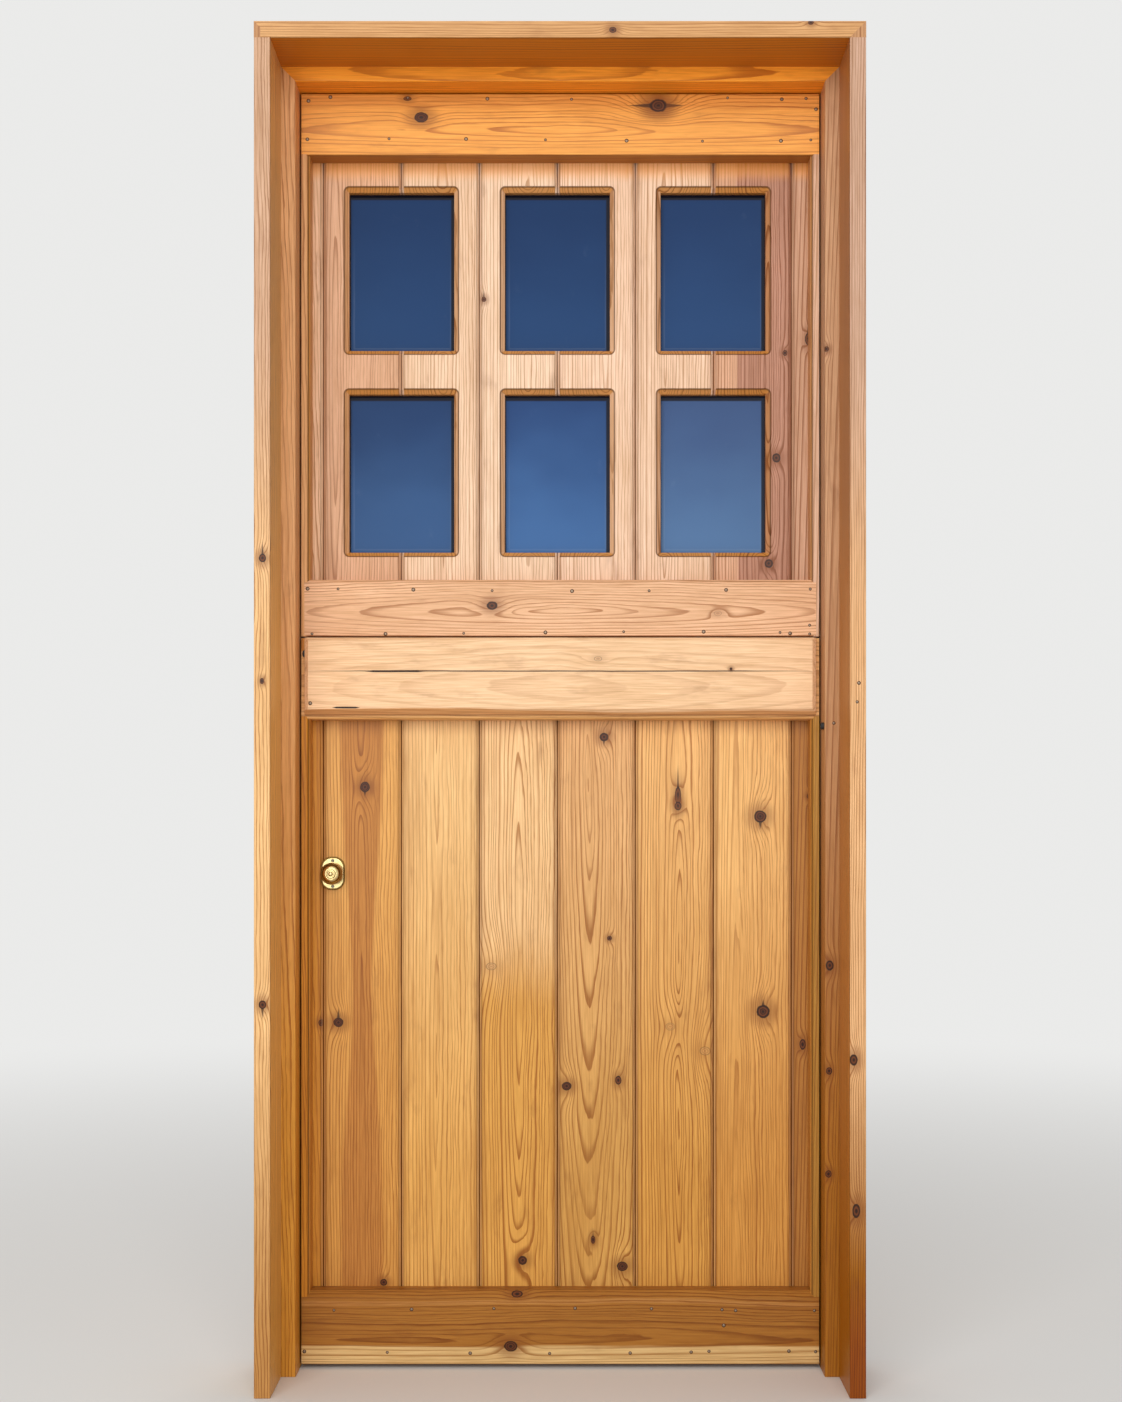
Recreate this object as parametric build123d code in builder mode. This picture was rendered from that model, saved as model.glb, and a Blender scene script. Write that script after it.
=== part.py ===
from build123d import *
from math import cos, radians, sin
import os

# A dutch stable door in its frame, in millimetres, Z up.
# X runs to the right as seen from outside, Y runs from outside into the building.
# The origin is on the floor, in the middle of the whole footprint.
# The two leaves hang on the right and open inwards, each by itself.

# Frame and casing
frame_width = 980.0
frame_height = 2204.0
jamb_width = 50.0
jamb_arris = 2.5
casing_thickness = 26.0
casing_depth = 117.0
casing_arris = 1.5
left_filler_width = 10.5
fixing_radius = 5.0
fixing_inset_bottom = 250.0
fixing_inset_top = 254.0

# How the leaves stand in the frame
rail_setback = 48.0
side_gap = 3.0
floor_gap = 7.0
split_height = 1233.0
split_gap = 3.0
lap = 14.5
edge_gap = 4.0
closing_gap = 1.0

# Boards behind the rails, tongued, grooved and V jointed
plank_thickness = 22.0
outer_plank_width = 51.6
plank_joint_offset = -5.0
planks_across = 8
joint_gap = 0.3
vee_width = 5.0
vee_depth = 4.0
tongue_thickness = 6.0
tongue_length = 7.0
tongue_setback = 10.0
tongue_clearance = 0.3

# Rails and strips nailed over the boards
rail_thickness = 38.0
rail_arris = 2.0
top_rail_width = 103.0
middle_rail_width = 96.0
middle_rail_chamfer = 5.0
lock_rail_width = 137.0
lock_rail_round = 5.0
bottom_rail_width = 123.0
bottom_rail_chamfer = 9.0
strip_width = 14.0
strip_chamfer = 5.0
strip_housing = 9.0
strip_stump_length = 22.0

# Weatherboard over the lock rail
weatherboard_thickness = 14.0
weatherboard_width = 130.0
weatherboard_inset = 6.5
weatherboard_drip = 10.0
weatherboard_top_chamfer = 4.0
weatherboard_end_chamfer = 6.5

# Windows
window_columns = 3
window_rows = 2
window_column_gap = 68.6
window_row_gap = 56.5
window_sill_margin = 43.0
window_head_margin = 38.5
window_corner = 10.0
window_splay = 9.0
glass_thickness = 4.0
glass_lap = 8.0
bead_width = 22.0
bead_thickness = 14.0
bead_chamfer = 5.0
mitre_gap = 0.2

# Hinges: a hook screwed to the jamb and a band screwed to the leaf
hinge_edge_offset = 2.0
pin_radius = 6.0
pin_clearance = 0.08
eye_wall = 5.0
eye_stand_off = 1.0
band_width = 40.0
band_tail_width = 30.0
band_thickness = 5.0
band_length = 350.0
band_screws = 3
band_inset = 10.0
hook_plate_height = 70.0
hook_plate_width = 30.0
hook_plate_thickness = 4.0
hook_plate_inset = 2.0
hook_screw_offset = 18.6
hook_screw_margin = 11.7
hook_arm_reach = 12.0
lug_height = 12.0
lug_radius = 10.0
pin_stand_out = 5.0
eye_seat_gap = 0.3

# Screws
screw_radius = 2.5
screw_head_radius = 4.5
screw_head_height = 2.2
screw_length = 30.0
small_screw_radius = 1.6
small_screw_head_radius = 2.8
small_screw_head_height = 1.1
small_screw_length = 16.0
short_screw_length = 20.0

# Knob set and rim latch
knob_height = 835.0
knob_edge_distance = 63.2
knob_radius = 18.5
knob_length = 35.0
knob_neck_radius = 8.0
knob_neck_clearance = 0.08
rosette_width = 41.0
rosette_height = 57.0
rosette_thickness = 4.0
rosette_rim_thickness = 2.4
rosette_rim_width = 2.5
rosette_corner_radius = 18.0
rosette_rounding = 0.8
rosette_screw_spacing = 44.0
spindle_size = 8.0
spindle_hole_radius = 7.0
latch_case_width = 105.0
latch_case_height = 80.0
latch_case_depth = 18.0
latch_wall = 2.0
latch_screw_inset = 9.0
latch_throw = 12.0
crank_swing = 30.0
crank_tip_radius = 3.0
crank_arm_width = 3.0
crank_thickness = 4.0
bolt_height = 18.0
bolt_thickness = 10.0
bolt_length = 20.0
bolt_clearance = 0.4
bolt_tail_thickness = 4.0
bolt_tail_bridge = 4.5
bolt_arris = 1.0
keeper_height = 40.0
keeper_reach = 30.0
keeper_ear = 12.0
keeper_clearance = 1.5

# Bolt that ties the two leaves
tie_edge_distance = 41.5
tie_rod_radius = 6.0
tie_rod_clearance = 0.08
tie_rod_length = 135.0
tie_rod_rest_gap = 5.0
tie_plate_width = 36.0
tie_plate_height = 110.0
tie_plate_thickness = 2.5
tie_plate_gap = 10.0
tie_guide_width = 24.0
tie_guide_height = 12.0
tie_guide_wall = 3.5
tie_guide_inset = 4.0
tie_keeper_height = 38.0
tie_staple_height = 26.0
tie_keeper_clearance = 0.5
tie_knob_radius = 7.0
tie_knob_reach = 18.0
tie_stem_radius = 3.5
tie_screw_inset = 5.0

# Widths that follow from the frame
frame_half = frame_width / 2
opening_half = frame_half - jamb_width
rail_half = opening_half - side_gap
plank_half = rail_half + lap
rebate_half = plank_half + edge_gap
casing_inner_half = frame_half - casing_thickness
rebate_width = rebate_half - opening_half

# Heights that follow from the frame
head_underside = frame_height - jamb_width
casing_underside = frame_height - casing_thickness
rail_top = head_underside - side_gap
plank_top = rail_top + lap
upper_leaf_bottom = split_height + split_gap
lower_leaf_bottom = floor_gap
lock_rail_bottom = split_height - lock_rail_width
strip_break_height = split_height - strip_stump_length
top_rail_bottom = rail_top - top_rail_width
middle_rail_top = upper_leaf_bottom + middle_rail_width
bottom_rail_top = lower_leaf_bottom + bottom_rail_width
fixing_heights = (fixing_inset_bottom, frame_height - fixing_inset_top)

# Each hinge band lies over a rail, in its middle or as low as its hook allows
upper_band_heights = (upper_leaf_bottom + middle_rail_width / 2, rail_top - top_rail_width / 2)
lower_band_heights = (bottom_rail_top - band_width / 2 - band_inset, split_height - lock_rail_width / 2)

# Depths, from the casing's front to the tip of the inner knob
jamb_depth = rail_setback + rail_thickness + plank_thickness
whole_depth = casing_depth + jamb_depth + latch_case_depth + knob_length
casing_front = -whole_depth / 2
jamb_front = casing_front + casing_depth
rail_front = jamb_front + rail_setback
plank_front = rail_front + rail_thickness
plank_back = plank_front + plank_thickness
jamb_back = plank_back
rebate_front = plank_front - closing_gap
weatherboard_front = rail_front - weatherboard_thickness

# Hinge line
eye_radius = pin_radius + eye_wall
hinge_x = plank_half + hinge_edge_offset
hinge_y = plank_back + eye_radius + eye_stand_off

# Knob and latch
knob_x = -plank_half + knob_edge_distance
latch_case_back = plank_back + latch_case_depth
bolt_middle = plank_back + latch_case_depth / 2
bolt_top = knob_height + knob_neck_radius + bolt_height * 2 / 3
bolt_centre = bolt_top - bolt_height / 2
tie_x = -plank_half + tie_edge_distance
tie_axis_y = plank_back + tie_plate_thickness + tie_guide_wall + tie_rod_radius
tie_guide_back = tie_axis_y + tie_rod_radius + tie_guide_wall

# Boards and windows share out the width and the height that the rails leave
plank_pitch = 2 * (plank_half - outer_plank_width) / (planks_across - 2)
window_column_pitch = 2 * plank_pitch
window_width = window_column_pitch - window_column_gap
window_space = top_rail_bottom - middle_rail_top - window_sill_margin - window_head_margin
window_row_pitch = (window_space + window_row_gap) / window_rows
window_height = window_row_pitch - window_row_gap
window_middle_height = middle_rail_top + window_sill_margin + window_space / 2

# Window hole behind the splayed edge
hole_width = window_width - 2 * window_splay
hole_height = window_height - 2 * window_splay

os.makedirs("parts", exist_ok=True)


def save(name, part):
    """Label a finished piece and write it to its own file."""
    part.label = name
    export_step(part, f"parts/{name}.step")


def upright(y):
    """A sketch plane at this depth, with sketch axes X and Z, facing outside."""
    return Plane.XZ.offset(-y)


def block(x_span, y_span, z_span, mode=Mode.ADD):
    """Put a plain box between these limits into the part being built."""
    spans = (x_span, y_span, z_span)
    middle = [(low + high) / 2 for low, high in spans]
    sizes = [abs(high - low) for low, high in spans]
    with Locations(tuple(middle)):
        Box(*sizes, mode=mode)


def put_rod(x, z, radius, y_start, y_end, mode=Mode.ADD):
    """Put a round rod lying along Y into the part being built."""
    with BuildSketch(upright(y_start)) as section:
        with Locations((x, z)):
            Circle(radius)
    extrude(section.sketch, amount=y_start - y_end, mode=mode)


def put_post(x, y, radius, z_start, z_end, mode=Mode.ADD):
    """Put a round rod standing along Z into the part being built."""
    with BuildSketch(Plane.XY.offset(z_start)) as section:
        with Locations((x, y)):
            Circle(radius)
    extrude(section.sketch, amount=z_end - z_start, mode=mode)


def mirrored(x_low, x_high, side):
    """The same stretch of X on the side's own half of the door."""
    return tuple(sorted((side * x_low, side * x_high)))


def front_edge(part, z):
    """The long front edge at this height of a rail lying along X."""
    return part.edges().filter_by(Axis.X).group_by(Axis.Y)[0].sort_by(lambda edge: abs(edge.center().Z - z))[0]


def plank_joints():
    """The X of each joint between two boards, from left to right."""
    inner = planks_across - 1
    first = plank_joint_offset - plank_pitch * (inner - 1) / 2
    return [first + plank_pitch * number for number in range(inner)]


def window_centres():
    """The middle of each window as X and Z, row by row from the top left."""
    centres = []
    for row in range(window_rows):
        z = window_middle_height + window_row_pitch * ((window_rows - 1) / 2 - row)
        for column in range(window_columns):
            x = plank_joint_offset + window_column_pitch * (column - (window_columns - 1) / 2)
            centres.append((x, z))
    return centres


def screw_points(x_values, z_values, y):
    """Where screws stand on a face at depth y, at each X with each Z."""
    return [(x, y, z) for x in x_values for z in z_values]


def put_screws(points, length):
    """Add wood screws driven outwards from these points, heads towards the inside."""
    for x, y, z in points:
        put_rod(x, z, screw_head_radius, y, y + screw_head_height)
        put_rod(x, z, screw_radius, y - length, y)


# Screws are made first, because every hole for one is cut by the screw itself.
def band_screw_points(heights):
    """The screws through the bands at these heights."""
    edges = plank_joints() + [plank_half]
    middles = [(left + right) / 2 for left, right in zip(edges[:-1], edges[1:])]
    return screw_points(middles[-band_screws:], heights, plank_back + band_thickness)


def hook_plate_span(height):
    """The lowest and highest Z of the hook plate under the band at this height."""
    top = height - band_width / 2 - eye_seat_gap
    return top - hook_plate_height, top


hook_plate_x = (rebate_half + hook_plate_inset, rebate_half + hook_plate_inset + hook_plate_width)
hook_screws = []
for height in upper_band_heights + lower_band_heights:
    low, high = hook_plate_span(height)
    hook_screws += screw_points(
        [hook_plate_x[0] + hook_screw_offset],
        [low + hook_screw_margin, (low + high) / 2, high - hook_screw_margin],
        jamb_back + hook_plate_thickness,
    )

keeper_x = (-rebate_half - keeper_reach, -rebate_half)
keeper_z = (bolt_centre - keeper_height / 2, bolt_centre + keeper_height / 2)
keeper_screws = screw_points(
    [sum(keeper_x) / 2],
    [keeper_z[0] - keeper_ear / 2, keeper_z[1] + keeper_ear / 2],
    jamb_back + latch_wall,
)

latch_case_x = (-plank_half, -plank_half + latch_case_width)
latch_case_z = (knob_height - latch_case_height / 2, knob_height + latch_case_height / 2)
latch_screws = screw_points(
    [latch_case_x[0] + latch_screw_inset, latch_case_x[1] - latch_screw_inset],
    [latch_case_z[0] + latch_screw_inset, latch_case_z[1] - latch_screw_inset],
    latch_case_back,
)

tie_plate_z = (upper_leaf_bottom + tie_plate_gap, upper_leaf_bottom + tie_plate_gap + tie_plate_height)
tie_keeper_z = (split_height - split_gap - tie_keeper_height, split_height - split_gap)
tie_screw_x = [tie_x - tie_plate_width / 2 + tie_screw_inset, tie_x + tie_plate_width / 2 - tie_screw_inset]
tie_face = plank_back + tie_plate_thickness
tie_plate_screws = screw_points(
    tie_screw_x,
    [tie_plate_z[0] + tie_plate_height / 3, tie_plate_z[1] - tie_plate_height / 3],
    tie_face,
)
tie_keeper_screws = screw_points(tie_screw_x, [tie_keeper_z[0] + tie_screw_inset], tie_face)

with BuildPart() as frame_screws:
    put_screws(hook_screws + keeper_screws, screw_length)
save("frame_screws", frame_screws.part)

with BuildPart() as upper_screws:
    put_screws(band_screw_points(upper_band_heights), screw_length + plank_thickness / 2)
    put_screws(tie_plate_screws, short_screw_length)
save("upper_screws", upper_screws.part)

with BuildPart() as lower_screws:
    put_screws(band_screw_points(lower_band_heights), screw_length + plank_thickness / 2)
    put_screws(tie_keeper_screws, short_screw_length)
    put_screws(latch_screws, latch_case_depth + plank_thickness / 2)
    rosette_front = plank_front - rosette_thickness
    for direction in (-1, 1):
        rosette_z = knob_height + direction * rosette_screw_spacing / 2
        put_rod(knob_x, rosette_z, small_screw_head_radius, rosette_front - small_screw_head_height, rosette_front)
        put_rod(knob_x, rosette_z, small_screw_radius, rosette_front, rosette_front + small_screw_length)
save("lower_screws", lower_screws.part)


# Frame: two jambs and a head of one rebated section, mitred at the corners
def mitre_waste(side, outer):
    """The triangle of a frame corner that belongs to the other member."""
    spare = (frame_half, head_underside) if outer else (opening_half, frame_height)
    corner = [(opening_half, head_underside), (frame_half, frame_height), spare]
    with BuildSketch(upright(jamb_front)) as waste:
        with BuildLine():
            Polyline([(side * x, z) for x, z in corner], close=True)
        make_face()
    extrude(waste.sketch, amount=-jamb_depth, mode=Mode.SUBTRACT)


for name, side in (("left", -1), ("right", 1)):
    with BuildPart() as jamb:
        with BuildSketch():
            with BuildLine():
                Polyline(
                    [
                        (side * opening_half, jamb_front),
                        (side * frame_half, jamb_front),
                        (side * frame_half, jamb_back),
                        (side * rebate_half, jamb_back),
                        (side * rebate_half, rebate_front),
                        (side * opening_half, rebate_front),
                    ],
                    close=True,
                )
            make_face()
        extrude(amount=frame_height)
        inner_arris = jamb.edges().filter_by(Axis.Z).sort_by_distance((side * opening_half, jamb_front, 0))[0]
        fillet(inner_arris, jamb_arris)
        mitre_waste(side, outer=False)
        with BuildSketch(Plane.YZ.offset(side * frame_half)):
            with Locations(*[((rebate_front + jamb_back) / 2, z) for z in fixing_heights]):
                Circle(fixing_radius)
        extrude(amount=-side * jamb_width, mode=Mode.SUBTRACT)
        add(frame_screws.part, mode=Mode.SUBTRACT)
    save(f"frame_jamb_{name}", jamb.part)

with BuildPart() as head:
    with BuildSketch(Plane.YZ):
        with BuildLine():
            Polyline(
                [
                    (jamb_front, head_underside),
                    (rebate_front, head_underside),
                    (rebate_front, head_underside + rebate_width),
                    (jamb_back, head_underside + rebate_width),
                    (jamb_back, frame_height),
                    (jamb_front, frame_height),
                ],
                close=True,
            )
        make_face()
    extrude(amount=frame_half, both=True)
    head_arris = head.edges().filter_by(Axis.X).sort_by_distance((0, jamb_front, head_underside))[0]
    fillet(head_arris, jamb_arris)
    for side in (-1, 1):
        mitre_waste(side, outer=True)
save("frame_head", head.part)


# Casing: boards on edge in front of the frame, with a small filler in each top corner
def filler_outline(side, width):
    """The outline of a corner filler, cut along the mitre from the outer corner."""
    outer = frame_half
    inner = frame_half - width
    points = [(inner, casing_underside), (outer, casing_underside), (outer, frame_height)]
    if width < casing_thickness:
        points.append((inner, frame_height - width))
    return [(side * x, z) for x, z in points]


corner_fillers = ((-1, left_filler_width), (1, casing_thickness))

for name, side in (("left", -1), ("right", 1)):
    with BuildPart() as casing:
        block(
            mirrored(casing_inner_half, frame_half, side),
            (casing_front, jamb_front),
            (0, casing_underside),
        )
        fillet(casing.edges().filter_by(Axis.Z).group_by(Axis.Y)[0], casing_arris)
    save(f"casing_{name}", casing.part)

with BuildPart() as casing_corner_fillers:
    for side, width in corner_fillers:
        with BuildSketch(upright(casing_front)):
            with BuildLine():
                Polyline(filler_outline(side, width), close=True)
            make_face()
        extrude(amount=-casing_depth)
save("casing_corner_fillers", casing_corner_fillers.part)

with BuildPart() as casing_head:
    block((-frame_half, frame_half), (casing_front, jamb_front), (casing_underside, frame_height))
    fillet(front_edge(casing_head, casing_underside), casing_arris)
    add(casing_corner_fillers.part, mode=Mode.SUBTRACT)
save("casing_head", casing_head.part)


# Windows: the cutter for one opening, splayed at the front
def cut_window(x, z):
    """Cut one window out of the board being built."""
    with BuildSketch(upright(plank_front)) as mouth:
        with Locations((x, z)):
            RectangleRounded(window_width, window_height, window_corner)
    extrude(mouth.sketch, amount=-window_splay, taper=45, mode=Mode.SUBTRACT)
    with BuildSketch(upright(plank_front)) as hole:
        with Locations((x, z)):
            RectangleRounded(hole_width, hole_height, window_corner - window_splay)
    extrude(hole.sketch, amount=-plank_thickness, mode=Mode.SUBTRACT)


def plank_outline(number):
    """The section of one board, with its tongue on the right and its groove on the left."""
    joints = plank_joints()
    first = number == 0
    last = number == planks_across - 1
    left = -plank_half if first else joints[number - 1] + joint_gap / 2
    right = plank_half if last else joints[number] - joint_gap / 2
    tongue_front = plank_front + tongue_setback
    tongue_back = tongue_front + tongue_thickness
    outline = [(left, plank_front)] if first else [(left, plank_front + vee_depth), (left + vee_width, plank_front)]
    if last:
        outline += [(right, plank_front), (right, plank_back)]
    else:
        outline += [
            (right - vee_width, plank_front),
            (right, plank_front + vee_depth),
            (right, tongue_front),
            (right + tongue_length, tongue_front),
            (right + tongue_length, tongue_back),
            (right, tongue_back),
            (right, plank_back),
        ]
    outline.append((left, plank_back))
    if not first:
        groove_end = left + tongue_length + tongue_clearance
        outline += [
            (left, tongue_back + tongue_clearance),
            (groove_end, tongue_back + tongue_clearance),
            (groove_end, tongue_front - tongue_clearance),
            (left, tongue_front - tongue_clearance),
        ]
    return outline


def put_plank(number, bottom, top):
    """Add one board standing between these heights."""
    with BuildSketch(Plane.XY.offset(bottom)) as section:
        with BuildLine():
            Polyline(plank_outline(number), close=True)
        make_face()
    extrude(section.sketch, amount=top - bottom)


for number in range(planks_across):
    with BuildPart() as plank:
        put_plank(number, upper_leaf_bottom, plank_top)
        for x, z in window_centres():
            cut_window(x, z)
        add(upper_screws.part, mode=Mode.SUBTRACT)
    save(f"upper_plank_{number + 1}", plank.part)

for number in range(planks_across):
    with BuildPart() as plank:
        put_plank(number, lower_leaf_bottom, split_height)
        put_rod(knob_x, knob_height, spindle_hole_radius, plank_front, plank_back, mode=Mode.SUBTRACT)
        add(lower_screws.part, mode=Mode.SUBTRACT)
    save(f"lower_plank_{number + 1}", plank.part)


def pane_spans(x, z):
    """The limits in X, Y and Z of the pane of the window centred here."""
    half_width = hole_width / 2 + glass_lap
    half_height = hole_height / 2 + glass_lap
    return (
        (x - half_width, x + half_width),
        (plank_back, plank_back + glass_thickness),
        (z - half_height, z + half_height),
    )


for number, (x, z) in enumerate(window_centres(), start=1):
    with BuildPart() as pane:
        block(*pane_spans(x, z))
    save(f"pane_{number}", pane.part)


# Glazing beads: four mitred bars round each pane, on the inside, rebated over its edge
def put_bead_frame(x, z):
    """Add the bead frame of one window, with a hairline at each mitre."""
    outer_width = hole_width + 2 * bead_width
    outer_height = hole_height + 2 * bead_width
    with BuildSketch(upright(plank_back)) as foot:
        with Locations((x, z)):
            Rectangle(outer_width, outer_height)
    extrude(foot.sketch, amount=bead_chamfer - bead_thickness)
    with BuildSketch(upright(plank_back + bead_thickness - bead_chamfer)) as crown:
        with Locations((x, z)):
            Rectangle(outer_width, outer_height)
    extrude(crown.sketch, amount=-bead_chamfer, taper=45)
    with BuildSketch(upright(plank_back)) as light:
        with Locations((x, z)):
            Rectangle(hole_width, hole_height)
    extrude(light.sketch, amount=-bead_thickness, mode=Mode.SUBTRACT)
    with BuildSketch(upright(plank_back)) as hairlines:
        for side in (-1, 1):
            for end in (-1, 1):
                corner = (x + side * hole_width / 2, z + end * hole_height / 2)
                with Locations(Location(corner, side * end * 45)):
                    Rectangle(2 * bead_width * 2 ** 0.5, mitre_gap)
    extrude(hairlines.sketch, amount=-bead_thickness, mode=Mode.SUBTRACT)


with BuildPart() as glazing_beads:
    for x, z in window_centres():
        put_bead_frame(x, z)
    for x, z in window_centres():
        block(*pane_spans(x, z), mode=Mode.SUBTRACT)
save("glazing_beads", glazing_beads.part)


# Rails, nailed over the front of the boards
housed_half = rail_half - strip_width + strip_housing
rail_depth = (rail_front, plank_front)

with BuildPart() as upper_top_rail:
    block((-rail_half, rail_half), rail_depth, (top_rail_bottom, rail_top))
    fillet(front_edge(upper_top_rail, top_rail_bottom), rail_arris)
    add(upper_screws.part, mode=Mode.SUBTRACT)
save("upper_top_rail", upper_top_rail.part)

with BuildPart() as upper_bottom_rail:
    block((-housed_half, housed_half), rail_depth, (upper_leaf_bottom, middle_rail_top))
    chamfer(front_edge(upper_bottom_rail, middle_rail_top), middle_rail_chamfer)
    fillet(front_edge(upper_bottom_rail, upper_leaf_bottom), rail_arris)
    add(upper_screws.part, mode=Mode.SUBTRACT)
save("upper_bottom_rail", upper_bottom_rail.part)

with BuildPart() as lower_lock_rail:
    block((-rail_half, rail_half), rail_depth, (lock_rail_bottom, split_height))
    fillet(front_edge(lower_lock_rail, lock_rail_bottom), lock_rail_round)
    block((-rail_half, -housed_half), rail_depth, (strip_break_height, split_height), mode=Mode.SUBTRACT)
    add(lower_screws.part, mode=Mode.SUBTRACT)
save("lower_lock_rail", lower_lock_rail.part)

with BuildPart() as lower_bottom_rail:
    block((-rail_half, rail_half), rail_depth, (lower_leaf_bottom, bottom_rail_top))
    chamfer(front_edge(lower_bottom_rail, bottom_rail_top), bottom_rail_chamfer)
    fillet(front_edge(lower_bottom_rail, lower_leaf_bottom), rail_arris)
    add(lower_screws.part, mode=Mode.SUBTRACT)
save("lower_bottom_rail", lower_bottom_rail.part)

weatherboard_half = rail_half - weatherboard_inset
with BuildPart() as weatherboard:
    block(
        (-weatherboard_half, weatherboard_half),
        (weatherboard_front, rail_front),
        (split_height - weatherboard_width, split_height),
    )
    chamfer(front_edge(weatherboard, split_height - weatherboard_width), weatherboard_drip)
    chamfer(front_edge(weatherboard, split_height), weatherboard_top_chamfer)
    ends = weatherboard.faces().filter_by(Axis.X)
    end_edges = [end.edges().filter_by(Axis.Z).sort_by(Axis.Y)[0] for end in ends]
    chamfer(end_edges, weatherboard_end_chamfer)
save("weatherboard", weatherboard.part)


# Strips down both sides of each leaf, scribed to the rails and housed for their ends
def put_strip(side, bottom, top, cutters):
    """Add one side strip between these heights, cut away where rails and screws run."""
    inner = rail_half - strip_width
    with BuildSketch(Plane.XY.offset(bottom)) as section:
        with BuildLine():
            Polyline(
                [
                    (side * rail_half, rail_front),
                    (side * (inner + strip_chamfer), rail_front),
                    (side * inner, rail_front + strip_chamfer),
                    (side * inner, plank_front),
                    (side * rail_half, plank_front),
                ],
                close=True,
            )
        make_face()
    extrude(section.sketch, amount=top - bottom)
    for cutter in cutters:
        add(cutter.part, mode=Mode.SUBTRACT)


upper_cutters = (upper_top_rail, upper_bottom_rail, upper_screws)
lower_cutters = (lower_bottom_rail, lower_lock_rail, lower_screws)
for name, side in (("left", -1), ("right", 1)):
    with BuildPart() as upper_strip:
        put_strip(side, upper_leaf_bottom, top_rail_bottom + rail_arris, upper_cutters)
    save(f"upper_strip_{name}", upper_strip.part)
    with BuildPart() as lower_strip:
        lower_end = bottom_rail_top - bottom_rail_chamfer
        put_strip(side, lower_end, lock_rail_bottom + lock_rail_round, lower_cutters)
        if side < 0:
            # The strip is broken off here, and a stump of it is left beside the lock rail's top
            put_strip(side, strip_break_height, split_height, lower_cutters)
    save(f"lower_strip_{name}", lower_strip.part)


# Hinges
def put_band(height, screws):
    """Add the band at this height: its flat strap, its rolled eye and its screw holes."""
    tail = hinge_x - band_length
    with BuildSketch(upright(plank_back)) as strap:
        with BuildLine():
            Polyline(
                [
                    (hinge_x, height - band_width / 2),
                    (tail, height - band_tail_width / 2),
                    (tail, height + band_tail_width / 2),
                    (hinge_x, height + band_width / 2),
                ],
                close=True,
            )
        make_face()
        with Locations((tail, height)):
            Circle(band_tail_width / 2)
    extrude(strap.sketch, amount=-band_thickness)
    low, high = height - band_width / 2, height + band_width / 2
    put_post(hinge_x, hinge_y, eye_radius, low, high)
    put_post(hinge_x, hinge_y, pin_radius + pin_clearance, low, high, mode=Mode.SUBTRACT)
    add(screws, mode=Mode.SUBTRACT)


def put_hook(height):
    """Add the hook under the band at this height: its plate, its lug and its upright pin."""
    low, high = hook_plate_span(height)
    block(hook_plate_x, (jamb_back, jamb_back + hook_plate_thickness), (low, high))
    block(
        (hinge_x, hinge_x + hook_arm_reach),
        (jamb_back + hook_plate_thickness, hinge_y + pin_radius),
        (high - lug_height, high),
    )
    put_post(hinge_x, hinge_y, lug_radius, high - lug_height, high)
    put_post(hinge_x, hinge_y, pin_radius, high, high + eye_seat_gap + band_width + pin_stand_out)


hinges = {
    "upper_top": (upper_band_heights[1], upper_screws),
    "upper_bottom": (upper_band_heights[0], upper_screws),
    "lower_top": (lower_band_heights[1], lower_screws),
    "lower_bottom": (lower_band_heights[0], lower_screws),
}
for name, (height, screws) in hinges.items():
    with BuildPart() as band:
        put_band(height, screws.part)
    save(f"hinge_band_{name}", band.part)
    with BuildPart() as hook:
        put_hook(height)
        chamfer(hook.edges().filter_by(GeomType.CIRCLE).sort_by(Axis.Z)[-1], pin_radius / 4)
        add(frame_screws.part, mode=Mode.SUBTRACT)
    save(f"hinge_hook_{name}", hook.part)


# Knobs: a turned brass knob, dished and ringed on its face, outside and inside
def put_knob(seat, direction):
    """Add a turned knob whose neck starts at depth seat and which points along direction."""

    def spot(across, along):
        """A profile point from its shares of the knob's radius and length."""
        return knob_x + across * knob_radius, seat + direction * along * knob_length

    neck = knob_neck_radius / knob_radius
    with BuildSketch(Plane.XY.offset(knob_height)) as profile:
        with BuildLine():
            Polyline(spot(0, 0), spot(neck, 0), spot(neck, 0.24))
            ThreePointArc(spot(neck, 0.24), spot(0.60, 0.38), spot(0.90, 0.50))
            ThreePointArc(spot(0.90, 0.50), spot(1.00, 0.62), spot(0.90, 0.74))
            Polyline(spot(0.90, 0.74), spot(0.87, 0.69), spot(0.82, 0.71))
            ThreePointArc(spot(0.82, 0.71), spot(0.70, 0.81), spot(0.54, 0.86))
            Polyline(spot(0.54, 0.86), spot(0.52, 0.80), spot(0.46, 0.80), spot(0.44, 0.87))
            ThreePointArc(spot(0.44, 0.87), spot(0.37, 0.92), spot(0.29, 0.91))
            Polyline(spot(0.29, 0.91), spot(0.27, 0.85), spot(0.22, 0.85), spot(0.20, 0.95))
            ThreePointArc(spot(0.20, 0.95), spot(0.13, 0.985), spot(0.06, 1))
            Polyline(spot(0.06, 1), spot(0, 1), spot(0, 0))
        make_face()
    revolve(profile.sketch, axis=Axis((knob_x, 0, knob_height), (0, 1, 0)))


knob_seat = plank_front - rosette_thickness
knob_hole_radius = knob_neck_radius + knob_neck_clearance
spindle_half = spindle_size / 2
spindle_end = latch_case_back + knob_length / 2
spindle_x = (knob_x - spindle_half, knob_x + spindle_half)
spindle_z = (knob_height - spindle_half, knob_height + spindle_half)

with BuildPart() as knob_outer:
    put_knob(knob_seat, -1)
    put_rod(knob_x, knob_height, knob_neck_radius, knob_seat, plank_front - bolt_clearance)
    block(spindle_x, (knob_seat, spindle_end), spindle_z)
save("knob_outer", knob_outer.part)

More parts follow.
